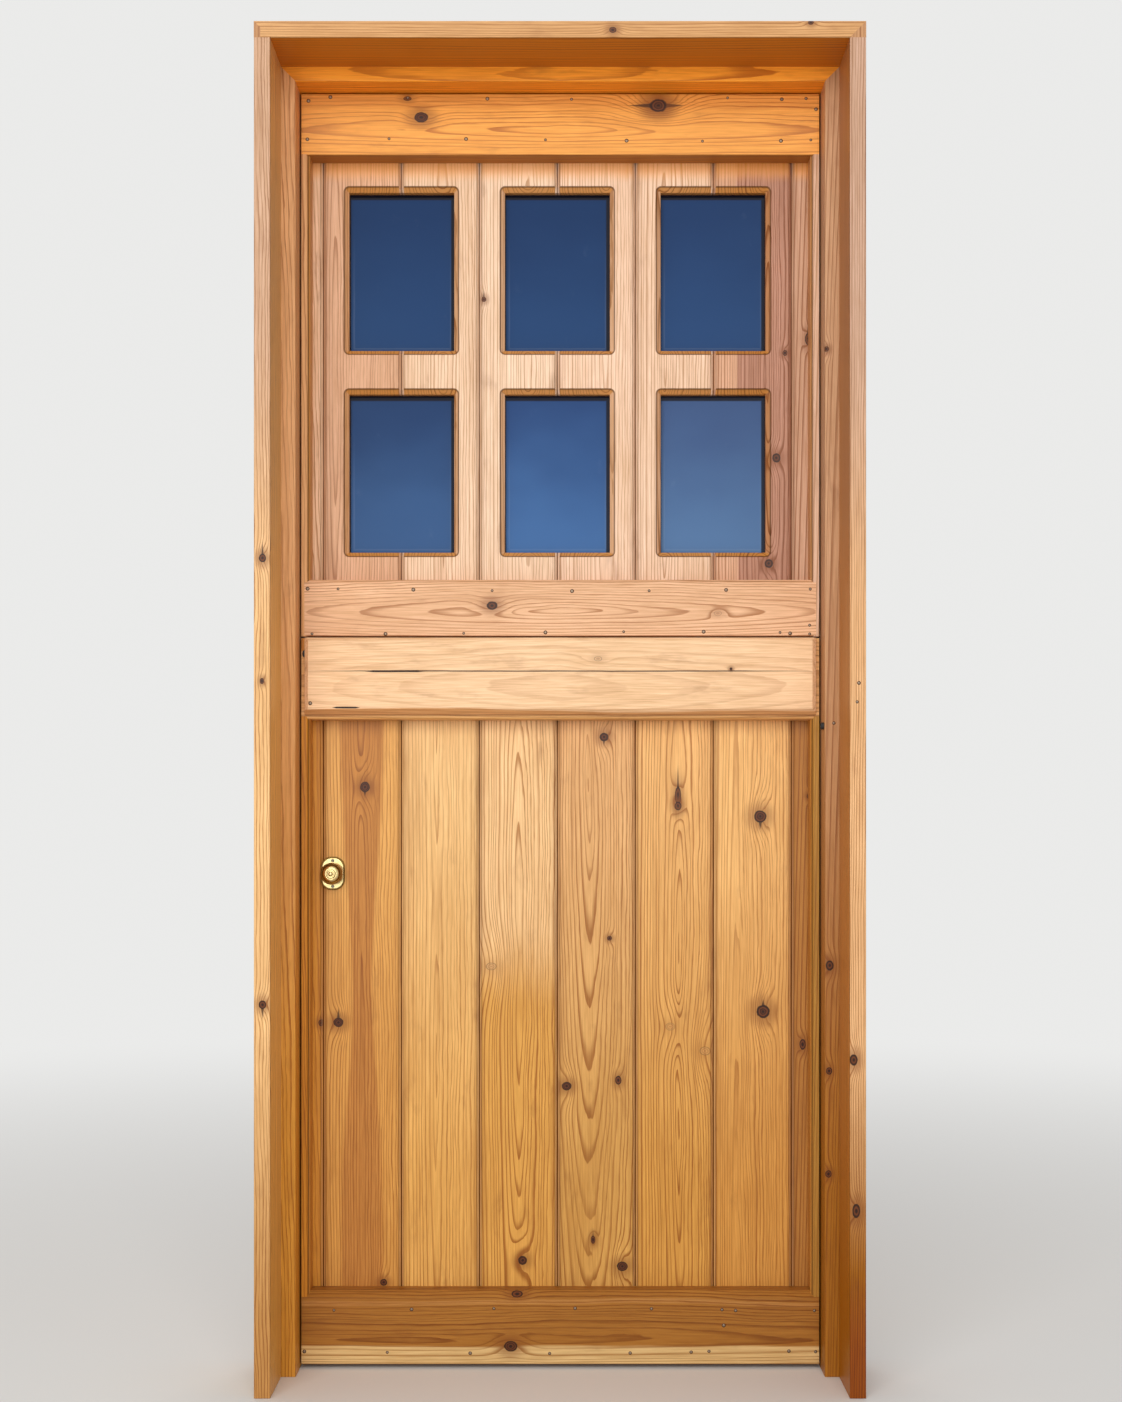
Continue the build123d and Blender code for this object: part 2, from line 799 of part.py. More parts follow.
with BuildPart() as knob_inner:
    put_knob(latch_case_back, 1)
    block(spindle_x, (latch_case_back, spindle_end), spindle_z, mode=Mode.SUBTRACT)
save("knob_inner", knob_inner.part)

with BuildPart() as knob_rosette:
    with BuildSketch(upright(plank_front)):
        with Locations((knob_x, knob_height)):
            RectangleRounded(rosette_width, rosette_height, rosette_corner_radius)
    extrude(amount=rosette_rim_thickness)
    fillet(knob_rosette.faces().sort_by(Axis.Y)[0].edges(), rosette_rounding)
    with BuildSketch(upright(plank_front - rosette_rim_thickness)):
        with Locations((knob_x, knob_height)):
            RectangleRounded(
                rosette_width - 2 * rosette_rim_width,
                rosette_height - 2 * rosette_rim_width,
                rosette_corner_radius - rosette_rim_width,
            )
    extrude(amount=rosette_thickness - rosette_rim_thickness)
    fillet(knob_rosette.faces().sort_by(Axis.Y)[0].edges(), rosette_rounding)
    put_rod(knob_x, knob_height, knob_hole_radius, knob_seat, plank_front, mode=Mode.SUBTRACT)
    add(lower_screws.part, mode=Mode.SUBTRACT)
save("knob_rosette", knob_rosette.part)

# Rim latch on the inside of the lower leaf: case, follower with its crank, bolt and keeper
bolt_z = (bolt_top - bolt_height, bolt_top)
bolt_y = (bolt_middle - bolt_thickness / 2, bolt_middle + bolt_thickness / 2)
bolt_tip = latch_case_x[0] - bolt_clearance
bolt_heel = bolt_tip + bolt_length

with BuildPart() as latch_case:
    block(latch_case_x, (plank_back, latch_case_back), latch_case_z)
    fillet(latch_case.faces().sort_by(Axis.Y)[-1].edges(), latch_wall)
    block(
        (latch_case_x[0] + latch_wall, latch_case_x[1] - latch_wall),
        (plank_back, latch_case_back - latch_wall),
        (latch_case_z[0] + latch_wall, latch_case_z[1] - latch_wall),
        mode=Mode.SUBTRACT,
    )
    block(
        (latch_case_x[0], latch_case_x[0] + latch_wall),
        (bolt_y[0] - bolt_clearance, bolt_y[1] + bolt_clearance),
        (bolt_z[0] - bolt_clearance, bolt_z[1] + bolt_clearance),
        mode=Mode.SUBTRACT,
    )
    inner_wall = (latch_case_back - latch_wall, latch_case_back)
    put_rod(knob_x, knob_height, knob_hole_radius, *inner_wall, mode=Mode.SUBTRACT)
    add(lower_screws.part, mode=Mode.SUBTRACT)
save("latch_case", latch_case.part)

# The crank swings evenly to both sides of upright, and its tip carries the bolt along
crank_reach = latch_throw / 2 / sin(radians(crank_swing))
crank_tip = (knob_x + latch_throw / 2, knob_height + crank_reach * cos(radians(crank_swing)))
crank_y = (bolt_middle - crank_thickness / 2, bolt_middle + crank_thickness / 2)

with BuildPart() as latch_follower:
    put_rod(knob_x, knob_height, knob_neck_radius, plank_back + bolt_clearance, latch_case_back)
    put_rod(*crank_tip, crank_tip_radius, *crank_y)
    with BuildSketch(upright(crank_y[0])) as crank_arm:
        with Locations(Location((knob_x, knob_height), -crank_swing)):
            Rectangle(crank_arm_width, crank_reach, align=(Align.CENTER, Align.MIN))
    extrude(crank_arm.sketch, amount=-crank_thickness)
    block(spindle_x, (plank_back, latch_case_back), spindle_z, mode=Mode.SUBTRACT)
save("latch_follower", latch_follower.part)

tail_y = (bolt_middle - bolt_tail_thickness / 2, bolt_middle + bolt_tail_thickness / 2)
notch_half = crank_tip_radius + bolt_clearance
notch_x = (crank_tip[0] - notch_half, crank_tip[0] + notch_half)
tail_end = notch_x[1] + bolt_tail_bridge
tail_z = (knob_height + knob_neck_radius + bolt_clearance, bolt_top)

with BuildPart() as latch_bolt:
    block((bolt_tip, bolt_heel), bolt_y, bolt_z)
    chamfer(latch_bolt.faces().sort_by(Axis.X)[0].edges(), bolt_arris)
    block((bolt_heel, tail_end), tail_y, tail_z)
    notch_top = knob_height + crank_reach + notch_half
    block(notch_x, tail_y, (tail_z[0], notch_top), mode=Mode.SUBTRACT)
save("latch_bolt", latch_bolt.part)

with BuildPart() as latch_keeper:
    block(keeper_x, (jamb_back, latch_case_back), keeper_z)
    fillet(latch_keeper.faces().sort_by(Axis.Y)[-1].edges(), latch_wall)
    block(
        keeper_x,
        (jamb_back, jamb_back + latch_wall),
        (keeper_z[0] - keeper_ear, keeper_z[1] + keeper_ear),
    )
    block(
        (keeper_x[0] + latch_wall, keeper_x[1] - latch_wall),
        (jamb_back, latch_case_back - latch_wall),
        (keeper_z[0] + latch_wall, keeper_z[1] - latch_wall),
        mode=Mode.SUBTRACT,
    )
    block(
        (keeper_x[1] - latch_wall, keeper_x[1]),
        (bolt_y[0] - keeper_clearance, bolt_y[1] + keeper_clearance),
        (bolt_z[0] - keeper_clearance, bolt_z[1] + keeper_clearance),
        mode=Mode.SUBTRACT,
    )
    add(frame_screws.part, mode=Mode.SUBTRACT)
save("latch_keeper", latch_keeper.part)


# Bolt that ties the upper leaf to the lower one
def put_guide(z_span):
    """Add a guide block for the tie bolt's rod between these heights, bored for it."""
    block(
        (tie_x - tie_guide_width / 2, tie_x + tie_guide_width / 2),
        (tie_face, tie_guide_back),
        z_span,
    )
    put_post(tie_x, tie_axis_y, tie_rod_radius + tie_rod_clearance, *z_span, mode=Mode.SUBTRACT)


tie_plate_x = (tie_x - tie_plate_width / 2, tie_x + tie_plate_width / 2)

with BuildPart() as tie_bolt_plate:
    block(tie_plate_x, (plank_back, tie_face), tie_plate_z)
    low_guide = tie_plate_z[0] + tie_guide_inset
    high_guide = tie_plate_z[1] - tie_guide_inset
    put_guide((low_guide, low_guide + tie_guide_height))
    put_guide((high_guide - tie_guide_height, high_guide))
    add(upper_screws.part, mode=Mode.SUBTRACT)
save("tie_bolt_plate", tie_bolt_plate.part)

throat_half = tie_rod_radius + tie_keeper_clearance
staple_half = throat_half + tie_guide_wall
staple_z = (tie_keeper_z[1] - tie_staple_height, tie_keeper_z[1])
with BuildPart() as tie_bolt_keeper:
    block(tie_plate_x, (plank_back, tie_face), tie_keeper_z)
    block((tie_x - staple_half, tie_x + staple_half), (tie_face, tie_axis_y + staple_half), staple_z)
    corners = tie_bolt_keeper.faces().sort_by(Axis.Y)[-1].edges().filter_by(Axis.Z)
    fillet(corners, tie_guide_wall)
    throat_x = (tie_x - throat_half, tie_x + throat_half)
    block(throat_x, (tie_face, tie_axis_y + throat_half), staple_z, mode=Mode.SUBTRACT)
    add(lower_screws.part, mode=Mode.SUBTRACT)
save("tie_bolt_keeper", tie_bolt_keeper.part)

rod_bottom = upper_leaf_bottom + tie_rod_rest_gap
tie_knob_z = (tie_plate_z[0] + tie_plate_z[1]) / 2 + tie_guide_height
with BuildPart() as tie_bolt_rod:
    put_post(tie_x, tie_axis_y, tie_rod_radius, rod_bottom, rod_bottom + tie_rod_length)
    chamfer(tie_bolt_rod.edges().filter_by(GeomType.CIRCLE), tie_rod_radius / 4)
    tie_knob_y = tie_axis_y + tie_rod_radius + tie_knob_reach - tie_knob_radius
    put_rod(tie_x, tie_knob_z, tie_stem_radius, tie_axis_y, tie_knob_y)
    with Locations((tie_x, tie_knob_y, tie_knob_z)):
        Sphere(tie_knob_radius)
save("tie_bolt_rod", tie_bolt_rod.part)
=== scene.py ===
"""The looks of a varnished pine stable door: its timber, glass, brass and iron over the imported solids."""

import logging
import math
import random
from dataclasses import dataclass
from enum import Enum
from typing import Sequence, Union

import bmesh
import bpy
from mathutils import Matrix, Vector


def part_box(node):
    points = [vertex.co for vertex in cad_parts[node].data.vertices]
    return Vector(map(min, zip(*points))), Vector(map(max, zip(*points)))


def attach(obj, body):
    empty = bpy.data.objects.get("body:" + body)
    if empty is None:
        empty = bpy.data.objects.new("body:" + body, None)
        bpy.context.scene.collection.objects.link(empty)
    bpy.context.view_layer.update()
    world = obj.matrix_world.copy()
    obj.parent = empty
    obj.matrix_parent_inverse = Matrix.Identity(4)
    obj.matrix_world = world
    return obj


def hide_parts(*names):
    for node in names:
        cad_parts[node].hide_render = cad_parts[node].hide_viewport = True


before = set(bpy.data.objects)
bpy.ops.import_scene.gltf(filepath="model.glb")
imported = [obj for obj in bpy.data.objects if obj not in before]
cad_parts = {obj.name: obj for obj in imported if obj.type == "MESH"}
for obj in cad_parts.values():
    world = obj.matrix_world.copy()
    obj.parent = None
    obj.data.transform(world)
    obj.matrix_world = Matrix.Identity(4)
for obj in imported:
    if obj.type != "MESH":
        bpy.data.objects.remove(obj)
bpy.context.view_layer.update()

log = logging.getLogger("stable_door")

Colour = tuple[float, float, float]
Point = tuple[float, float, float]
Span = tuple[float, float]

MM = 0.001
PER_METRE = 1000

# The curve between a screen's values and linear ones: straight up to the knee, a power above it.
SCREEN_FULL = 255
SCREEN_KNEE = 0.04045
SCREEN_SLOPE = 12.92
SCREEN_LIFT = 0.055
SCREEN_POWER = 2.4

# The outer faces of the boards, the casing and the frame, in millimetres along Y.
BOARD_FACE = 64.0
CASING_FACE = -139.0
JAMB_FACE = -22.0


def paint(red: float, green: float, blue: float) -> Colour:
    """Turn a colour as a screen shows it into the linear values that a shader takes.

    Args:
        red: Red, 0 to 255.
        green: Green, 0 to 255.
        blue: Blue, 0 to 255.

    Returns:
        The three linear values, 0 to 1.
    """
    def linear(value: float) -> float:
        """Straighten one value.

        Args:
            value: The screen's value, 0 to 255.

        Returns:
            The linear value, 0 to 1.
        """
        share = value / SCREEN_FULL
        if share <= SCREEN_KNEE:
            return share / SCREEN_SLOPE
        return ((share + SCREEN_LIFT) / (1 + SCREEN_LIFT)) ** SCREEN_POWER

    return linear(red), linear(green), linear(blue)


def blended(first: Colour, second: Colour, share: float) -> Colour:
    """A colour between two, share of the way from the first to the second."""
    return tuple(a + (b - a) * share for a, b in zip(first, second))


class Field:
    """A number that changes over a surface, held by the socket that gives it."""

    def __init__(self, recipe: "Recipe", socket: bpy.types.NodeSocket) -> None:
        """Hold a socket of a recipe."""
        self.recipe = recipe
        self.socket = socket

    def _math(self, operation: str, *values: "Number") -> "Field":
        """Add a Math node.

        Args:
            operation: What the node works out.
            *values: What it works on, in order.

        Returns:
            The result.
        """
        node = self.recipe.node("ShaderNodeMath", {"operation": operation}, dict(enumerate(values)))
        return Field(self.recipe, node.outputs[0])

    def __add__(self, other: "Number") -> "Field":
        """This plus another."""
        return self._math("ADD", self, other)

    def __sub__(self, other: "Number") -> "Field":
        """This less another."""
        return self._math("SUBTRACT", self, other)

    def __rsub__(self, other: "Number") -> "Field":
        """Another less this."""
        return self._math("SUBTRACT", other, self)

    def __mul__(self, other: "Number") -> "Field":
        """This times another."""
        return self._math("MULTIPLY", self, other)

    def __truediv__(self, other: "Number") -> "Field":
        """This divided by another."""
        return self._math("DIVIDE", self, other)

    def __abs__(self) -> "Field":
        """The size of this, without its sign."""
        return self._math("ABSOLUTE", self)

    def root(self) -> "Field":
        """The square root."""
        return self._math("SQRT", self)

    def fraction(self) -> "Field":
        """What is left over a whole number."""
        return self._math("FRACT", self)

    def sine(self) -> "Field":
        """The sine of this, in radians."""
        return self._math("SINE", self)

    def fade(self) -> "Field":
        """1 at nought, falling quickly to nothing as this grows."""
        return self._math("EXPONENT", self * -1)

    def least(self, other: "Number") -> "Field":
        """The smaller of this and another."""
        return self._math("MINIMUM", self, other)

    def most(self, other: "Number") -> "Field":
        """The larger of this and another."""
        return self._math("MAXIMUM", self, other)

    def above(self, other: "Number") -> "Field":
        """1 where this is above another, else 0."""
        return self._math("GREATER_THAN", self, other)

    def rise(self, low: float, high: float) -> "Field":
        """A smooth step between two values, which falls where high is under low.

        Args:
            low: Where the step is still 0.
            high: Where it has come to 1.

        Returns:
            The step, 0 to 1.
        """
        flipped = high < low
        ends = (high, low) if flipped else (low, high)
        node = self.recipe.node(
            "ShaderNodeMapRange", {"interpolation_type": "SMOOTHSTEP", "clamp": True},
            {"Value": self, "From Min": ends[0], "From Max": ends[1],
             "To Min": float(flipped), "To Max": float(not flipped)})
        return Field(self.recipe, node.outputs["Result"])


Number = Union[Field, float, int]
Value = Union[Field, float, int, Colour, bpy.types.NodeSocket]
Inputs = dict[Union[str, int], Value]


class Recipe:
    """A material in the making: its node tree and the few ways of adding to it."""

    ROUGHNESS = 0.55

    def __init__(self, name: str) -> None:
        """Start an empty material.

        Args:
            name: The material's name.
        """
        self.material = bpy.data.materials.new(name)
        self.material.use_nodes = True
        self.tree = self.material.node_tree
        self.tree.nodes.clear()
        place = self.node("ShaderNodeTexCoord", {}, {})
        spot = self.node("ShaderNodeSeparateXYZ", {}, {0: place.outputs["Object"]})
        self.x, self.y, self.z = (Field(self, spot.outputs[axis]) * PER_METRE for axis in range(3))
        facing = self.node("ShaderNodeSeparateXYZ", {}, {0: place.outputs["Normal"]})
        self.front, self.level = (abs(Field(self, facing.outputs[axis])) for axis in (1, 2))

    def node(self, kind: str, settings: dict[str, object], values: Inputs) -> bpy.types.Node:
        """Add a node.

        Args:
            kind: The node's type.
            settings: Its properties, set before its sockets.
            values: What goes into its sockets, by identifier, name or number.

        Returns:
            The node.
        """
        node = self.tree.nodes.new(kind)
        for name, value in settings.items():
            setattr(node, name, value)
        for key, value in values.items():
            socket = self._socket(node, key)
            if isinstance(value, Field):
                self.tree.links.new(value.socket, socket)
            elif isinstance(value, bpy.types.NodeSocket):
                self.tree.links.new(value, socket)
            elif isinstance(value, tuple) and len(socket.default_value) == 4:
                socket.default_value = (*value, 1.0)
            else:
                socket.default_value = value
        return node

    @staticmethod
    def _socket(node: bpy.types.Node, key: Union[str, int]) -> bpy.types.NodeSocket:
        """Find a node's input.

        Args:
            node: The node.
            key: The input's number, identifier or name.

        Returns:
            The input.
        """
        if isinstance(key, int):
            return node.inputs[key]
        for socket in node.inputs:
            if socket.identifier == key:
                return socket
        return node.inputs[key]

    def vector(self, x: Number, y: Number, z: Number) -> bpy.types.NodeSocket:
        """A vector made of three numbers."""
        return self.node("ShaderNodeCombineXYZ", {}, {0: x, 1: y, 2: z}).outputs[0]

    def scaled(self, wide: float, deep: float, tall: float) -> bpy.types.NodeSocket:
        """The point in the door, in units of these three sizes in millimetres."""
        return self.vector(self.x / wide, self.y / deep, self.z / tall)

    def noise(self, place: bpy.types.NodeSocket, seed: float, detail: float = 2.0) -> Field:
        """Smooth noise from -1 to 1.

        Args:
            place: The point, in units of the noise's own size.
            seed: Which noise it is.
            detail: How many finer layers lie over it.

        Returns:
            The noise, centred on nought.
        """
        node = self.node("ShaderNodeTexNoise", {"noise_dimensions": "4D", "normalize": True},
                         {"Vector": place, "W": seed, "Scale": 1.0, "Detail": detail,
                          "Roughness": self.ROUGHNESS})
        return (Field(self, node.outputs[0]) - 0.5) * 2

    def mix(self, share: Number, first: Value, second: Value, way: str = "MIX") -> bpy.types.NodeSocket:
        """Mix two colours.

        Args:
            share: How much of the second.
            first: The colour under it.
            second: The colour over it.
            way: How they are mixed.

        Returns:
            The mixed colour's socket.
        """
        node = self.node("ShaderNodeMix", {"data_type": "RGBA", "blend_type": way, "clamp_factor": True},
                         {"Factor_Float": share, "A_Color": first, "B_Color": second})
        return next(socket for socket in node.outputs if socket.identifier == "Result_Color")

    def bump(self, height: Field, depth_mm: float) -> bpy.types.NodeSocket:
        """Raise the surface by a height field.

        Args:
            height: The height, 0 to 1.
            depth_mm: How far 1 stands above 0.

        Returns:
            The normal's socket.
        """
        values: Inputs = {"Height": height, "Distance": depth_mm * MM, "Strength": 1.0}
        return self.node("ShaderNodeBump", {}, values).outputs[0]

    def finish(self, values: Inputs) -> bpy.types.Material:
        """Close the material with one surface shader.

        Args:
            values: The surface shader's sockets.

        Returns:
            The material.
        """
        surface = self.node("ShaderNodeBsdfPrincipled", {}, values)
        self.node("ShaderNodeOutputMaterial", {}, {"Surface": surface.outputs[0]})
        return self.material


class Grain(Enum):
    """Which way a board's fibres run."""

    UPRIGHT = "up the door"
    LEVEL = "across the door"

    def order(self, upright: Number, level: Number) -> tuple[Number, Number]:
        """An upright and a level value, as the one along the fibres and the one across them."""
        return (upright, level) if self is Grain.UPRIGHT else (level, upright)


@dataclass(frozen=True)
class Figure:
    """Noise drawn out along a board's fibres: its size across and along them, in millimetres."""

    across: float
    along: float
    shift: float
    detail: float = 2.0


SLOW = Figure(95, 430, 0.0)
QUICK = Figure(18, 120, 3.7, 3.0)
RIPPLE = Figure(7, 34, 6.6)
CLOUD = Figure(60, 240, 7.9)
FIBRE = Figure(0.8, 42, 5.3, 3.0)
STRAND = Figure(2.4, 70, 6.1, 3.0)
SPECKS = Figure(1.5, 9, 4.4, 1.0)
FLAME = Figure(12, 330, 1.9, 3.0)
STAIN = Figure(26, 75, 2.2, 4.0)

LATE_WOOD = (0.54, 0.39, 0.25)
# Painted highlight: the pale colour laid on a groove's slopes beside its joint, standing in for light on
# them.
PAINTED_GROOVE_HIGHLIGHT = (1.0, 0.96, 0.88)
SAP_BROWN = paint(128, 68, 22)
PITCH_BROWN = paint(46, 23, 10)
CRACK_BROWN = paint(44, 24, 12)
JOINT_BROWN = paint(74, 33, 4)
# Painted light: the warm colour of bounce light under the top rail.
PAINTED_BOUNCE_GLOW = paint(240, 158, 66)


class Wood:
    """A board's wood in the making: where a point lies in it, its figures, and its colour so far."""

    def __init__(self, recipe: Recipe, grain: Grain, seed: float, colour: Colour) -> None:
        """Lay out a board's directions and the figures that its parts share.

        Args:
            recipe: The material in the making.
            grain: Which way the fibres run.
            seed: Which wood it is.
            colour: Its early wood.
        """
        self.recipe = recipe
        self.seed = seed
        self.colour: Value = colour
        self.depth = recipe.y
        self.along, self.across = grain.order(recipe.z, recipe.x)
        self.slow, self.quick, self.ripple = map(self.figure, (SLOW, QUICK, RIPPLE))
        self.cloud, self.fibre, self.stain = map(self.figure, (CLOUD, FIBRE, STAIN))

    def figure(self, figure: Figure) -> Field:
        """One figure's noise in this board.

        Args:
            figure: The figure.

        Returns:
            The noise, from -1 to 1.
        """
        place = self.recipe.vector(self.across / figure.across, self.depth / figure.across,
                                   self.along / figure.along)
        return self.recipe.noise(place, self.seed + figure.shift, figure.detail)

    def over(self, share: Number, colour: Value) -> None:
        """Lay another colour over the wood's own, by a share."""
        self.colour = self.recipe.mix(share, self.colour, colour)

    def times(self, colour: Value) -> bpy.types.NodeSocket:
        """The wood's colour multiplied by another."""
        return self.recipe.mix(1.0, self.colour, colour, "MULTIPLY")


@dataclass(frozen=True)
class Knot:
    """A knot in a board's face, placed as it lies in the door, in millimetres.

    The spike is a dark streak that runs from the knot along the grain, its sign giving the way.
    """

    x: float
    z: float
    radius: float
    stretch: float = 1.0
    darkness: float = 1.0
    swirl: float = 2.4
    spike: float = 0.0


@dataclass(frozen=True)
class Streak:
    """A band of another colour along a board, in millimetres across it.

    The waist is where along the board it narrows, over what length, and by what share.
    """

    middle: float
    width: float
    colour: Colour
    strength: float = 0.6
    waist: Union[Point, None] = None
    slow_sway: float = 12.0
    quick_sway: float = 2.0
    border: Span = (1.12, 0.82)

    def share(self, wood: Wood) -> Field:
        """How much the streak colours each point.

        Args:
            wood: The board in the making.

        Returns:
            The share, 0 to 1.
        """
        wide: Number = self.width / 2
        if self.waist is not None:
            place, span, narrowing = self.waist
            away = (wood.along - place) / span
            wide = (1 - (away * away).fade() * narrowing) * wide
        off = wood.across - self.middle + wood.slow * self.slow_sway + wood.quick * self.quick_sway
        return (abs(off) / wide).rise(*self.border) * self.strength


@dataclass(frozen=True)
class Crack:
    """A crack along the grain: where it starts and ends along, its place across and its width."""

    start: float
    end: float
    place: float
    width: float = 1.0
    point: float = 3.0
    wander: float = 1.1
    border: Span = (-0.2, 0.4)

    def mask(self, wood: Wood) -> Field:
        """Where the crack is open, pointed at both ends.

        Args:
            wood: The board in the making.

        Returns:
            1 in the crack and 0 beside it.
        """
        middle, half = (self.start + self.end) / 2, abs(self.end - self.start) / 2
        taper = (1 - abs(wood.along - middle) / half) * self.point
        off = abs(wood.across - self.place + wood.quick * self.wander)
        return (taper.least(1) * self.width - off).rise(*self.border) * taper.above(0)


@dataclass(frozen=True)
class Growth:
    """How the year rings run, alike in all boards: lengths in millimetres, spans in shares of a ring."""

    quick_sway: float = 2.8
    ripple_sway: float = 0.5
    depth_share: float = 0.8
    quick_push: float = 1.4
    slow_push: float = 3.0
    ripple_push: float = 0.35
    drift: float = 21.0
    drift_push: float = 9.0
    drift_shift: float = 8.3
    late_starts: Span = (0.56, 0.93)
    late_stops: Span = (1.0, 0.955)
    years: float = 2.3
    years_length: float = 900.0
    years_shift: float = 9.1
    years_share: float = 0.9
    cloud_share: float = 0.7
    late_level: float = 1.02
    late_least: float = 0.12


@dataclass(frozen=True)
class WoodColourAndPaintedLight:
    """How the wood is coloured, alike in all boards, with a painted glow of bounce light under a rail:
    lengths in millimetres, the rest spans and shares.
    """

    foot_slow: float = 60.0
    foot_quick: float = 22.0
    fibre: float = 0.30
    strand: float = 0.42
    cloud: float = 0.26
    tints: tuple[Span, ...] = ((0.72, 1.02), (1.0, 1.03), (1.45, 1.05))
    specks: Span = (0.62, 0.80)
    specks_share: float = 0.45
    flame: Span = (0.05, 0.55)
    flame_share: float = 0.34
    stain: Span = (0.12, 0.62)
    stain_share: float = 0.34
    base: Span = (650.0, 60.0)
    base_tints: Colour = (0.75, 1.0, 1.35)
    # The painted glow of bounce light under a rail: how far behind the face it fades, how its edge wanders,
    # over what height it grows and how strong it is.
    brow_depth: Span = (3.0, 1.0)
    brow_wander: float = 4.0
    brow_reach: float = 28.0
    brow_share: float = 0.64


@dataclass(frozen=True)
class JointLook:
    """How a joint has darkened, with a painted highlight on the groove's slopes beside its line: spans in
    millimetres from its middle, and shares.
    """

    wander: float = 0.5
    halo: Span = (15.0, 2.0)
    halo_share: float = 0.30
    edge: Span = (2.2, 0.9)
    line: Span = (1.40, 0.45)
    line_stain: float = 0.5
    line_level: float = 0.8
    # The painted highlight on the groove's slopes: where it starts and stops, how strong it is and how pale.
    highlight_inner: Span = (1.2, 1.8)
    highlight_outer: Span = (3.8, 3.0)
    highlight_share: float = 0.24
    highlight_pale: float = 0.30
    clear: Span = (3.4, 4.4)


@dataclass(frozen=True)
class SideLook:
    """How the sides of a board are varnished, with painted shade at their back: spans in millimetres behind
    its face, and shares.
    """

    back: Span = (0.1, 0.5)
    level: Span = (0.2, 0.6)
    late_brown: float = 0.8
    deep: Span = (0.4, 1.8)
    line_starts: Span = (0.1, 0.5)
    line_stops: Span = (3.4, 2.0)
    line_share: float = 0.6
    # Painted shade at the back of the sides, deep in the openings: where it starts and where it is whole.
    back_shade: Span = (17.0, 20.5)


@dataclass(frozen=True)
class KnotLook:
    """How a knot looks: spans in knot radii from its middle, and shares."""

    ragged: float = 6.0
    ragged_shift: float = 1.3
    ragged_share: float = 0.16
    bend_along: float = 0.10
    bend_across: float = 0.42
    bend_swirl: float = 4.0
    bend_push: float = 1.7
    sunk: float = 1.4
    halo: Span = (3.6, 1.0)
    halo_share: float = 0.52
    spike_width: float = 0.55
    spike_border: Span = (-0.4, 1.2)
    spike_start: Span = (-0.05, 0.05)
    spike_share: float = 0.8
    rings: float = 1.6
    pale: Colour = paint(112, 58, 24)
    dark: Colour = paint(60, 29, 12)
    heart_colour: Colour = paint(32, 16, 8)
    heart: Span = (0.62, 0.05)
    heart_share: float = 0.75
    faint_under: float = 0.5
    faint_browns: Span = (0.25, 0.80)
    core: Span = (1.04, 0.90)
    core_least: float = 0.3
    core_rest: float = 0.7
    rim: float = 0.94
    rim_span: Span = (0.20, 0.05)
    rim_share: float = 0.95


@dataclass(frozen=True)
class Varnish:
    """The satin varnish over all the wood, and how far its grain stands up, in millimetres."""

    late_height: float = 0.35
    fibre_height: float = 0.30
    crack_height: float = 3.0
    relief: float = 0.14
    fibre_gloss: float = 0.05
    late_gloss: float = 0.06
    cloud_gloss: float = 0.05
    coat: float = 0.07
    coat_roughness: float = 0.25
    specular: float = 0.22


GROWTH, WOOD_COLOUR_AND_LIGHT, VARNISH = Growth(), WoodColourAndPaintedLight(), Varnish()
JOINT, SIDE, KNOT = JointLook(), SideLook(), KnotLook()


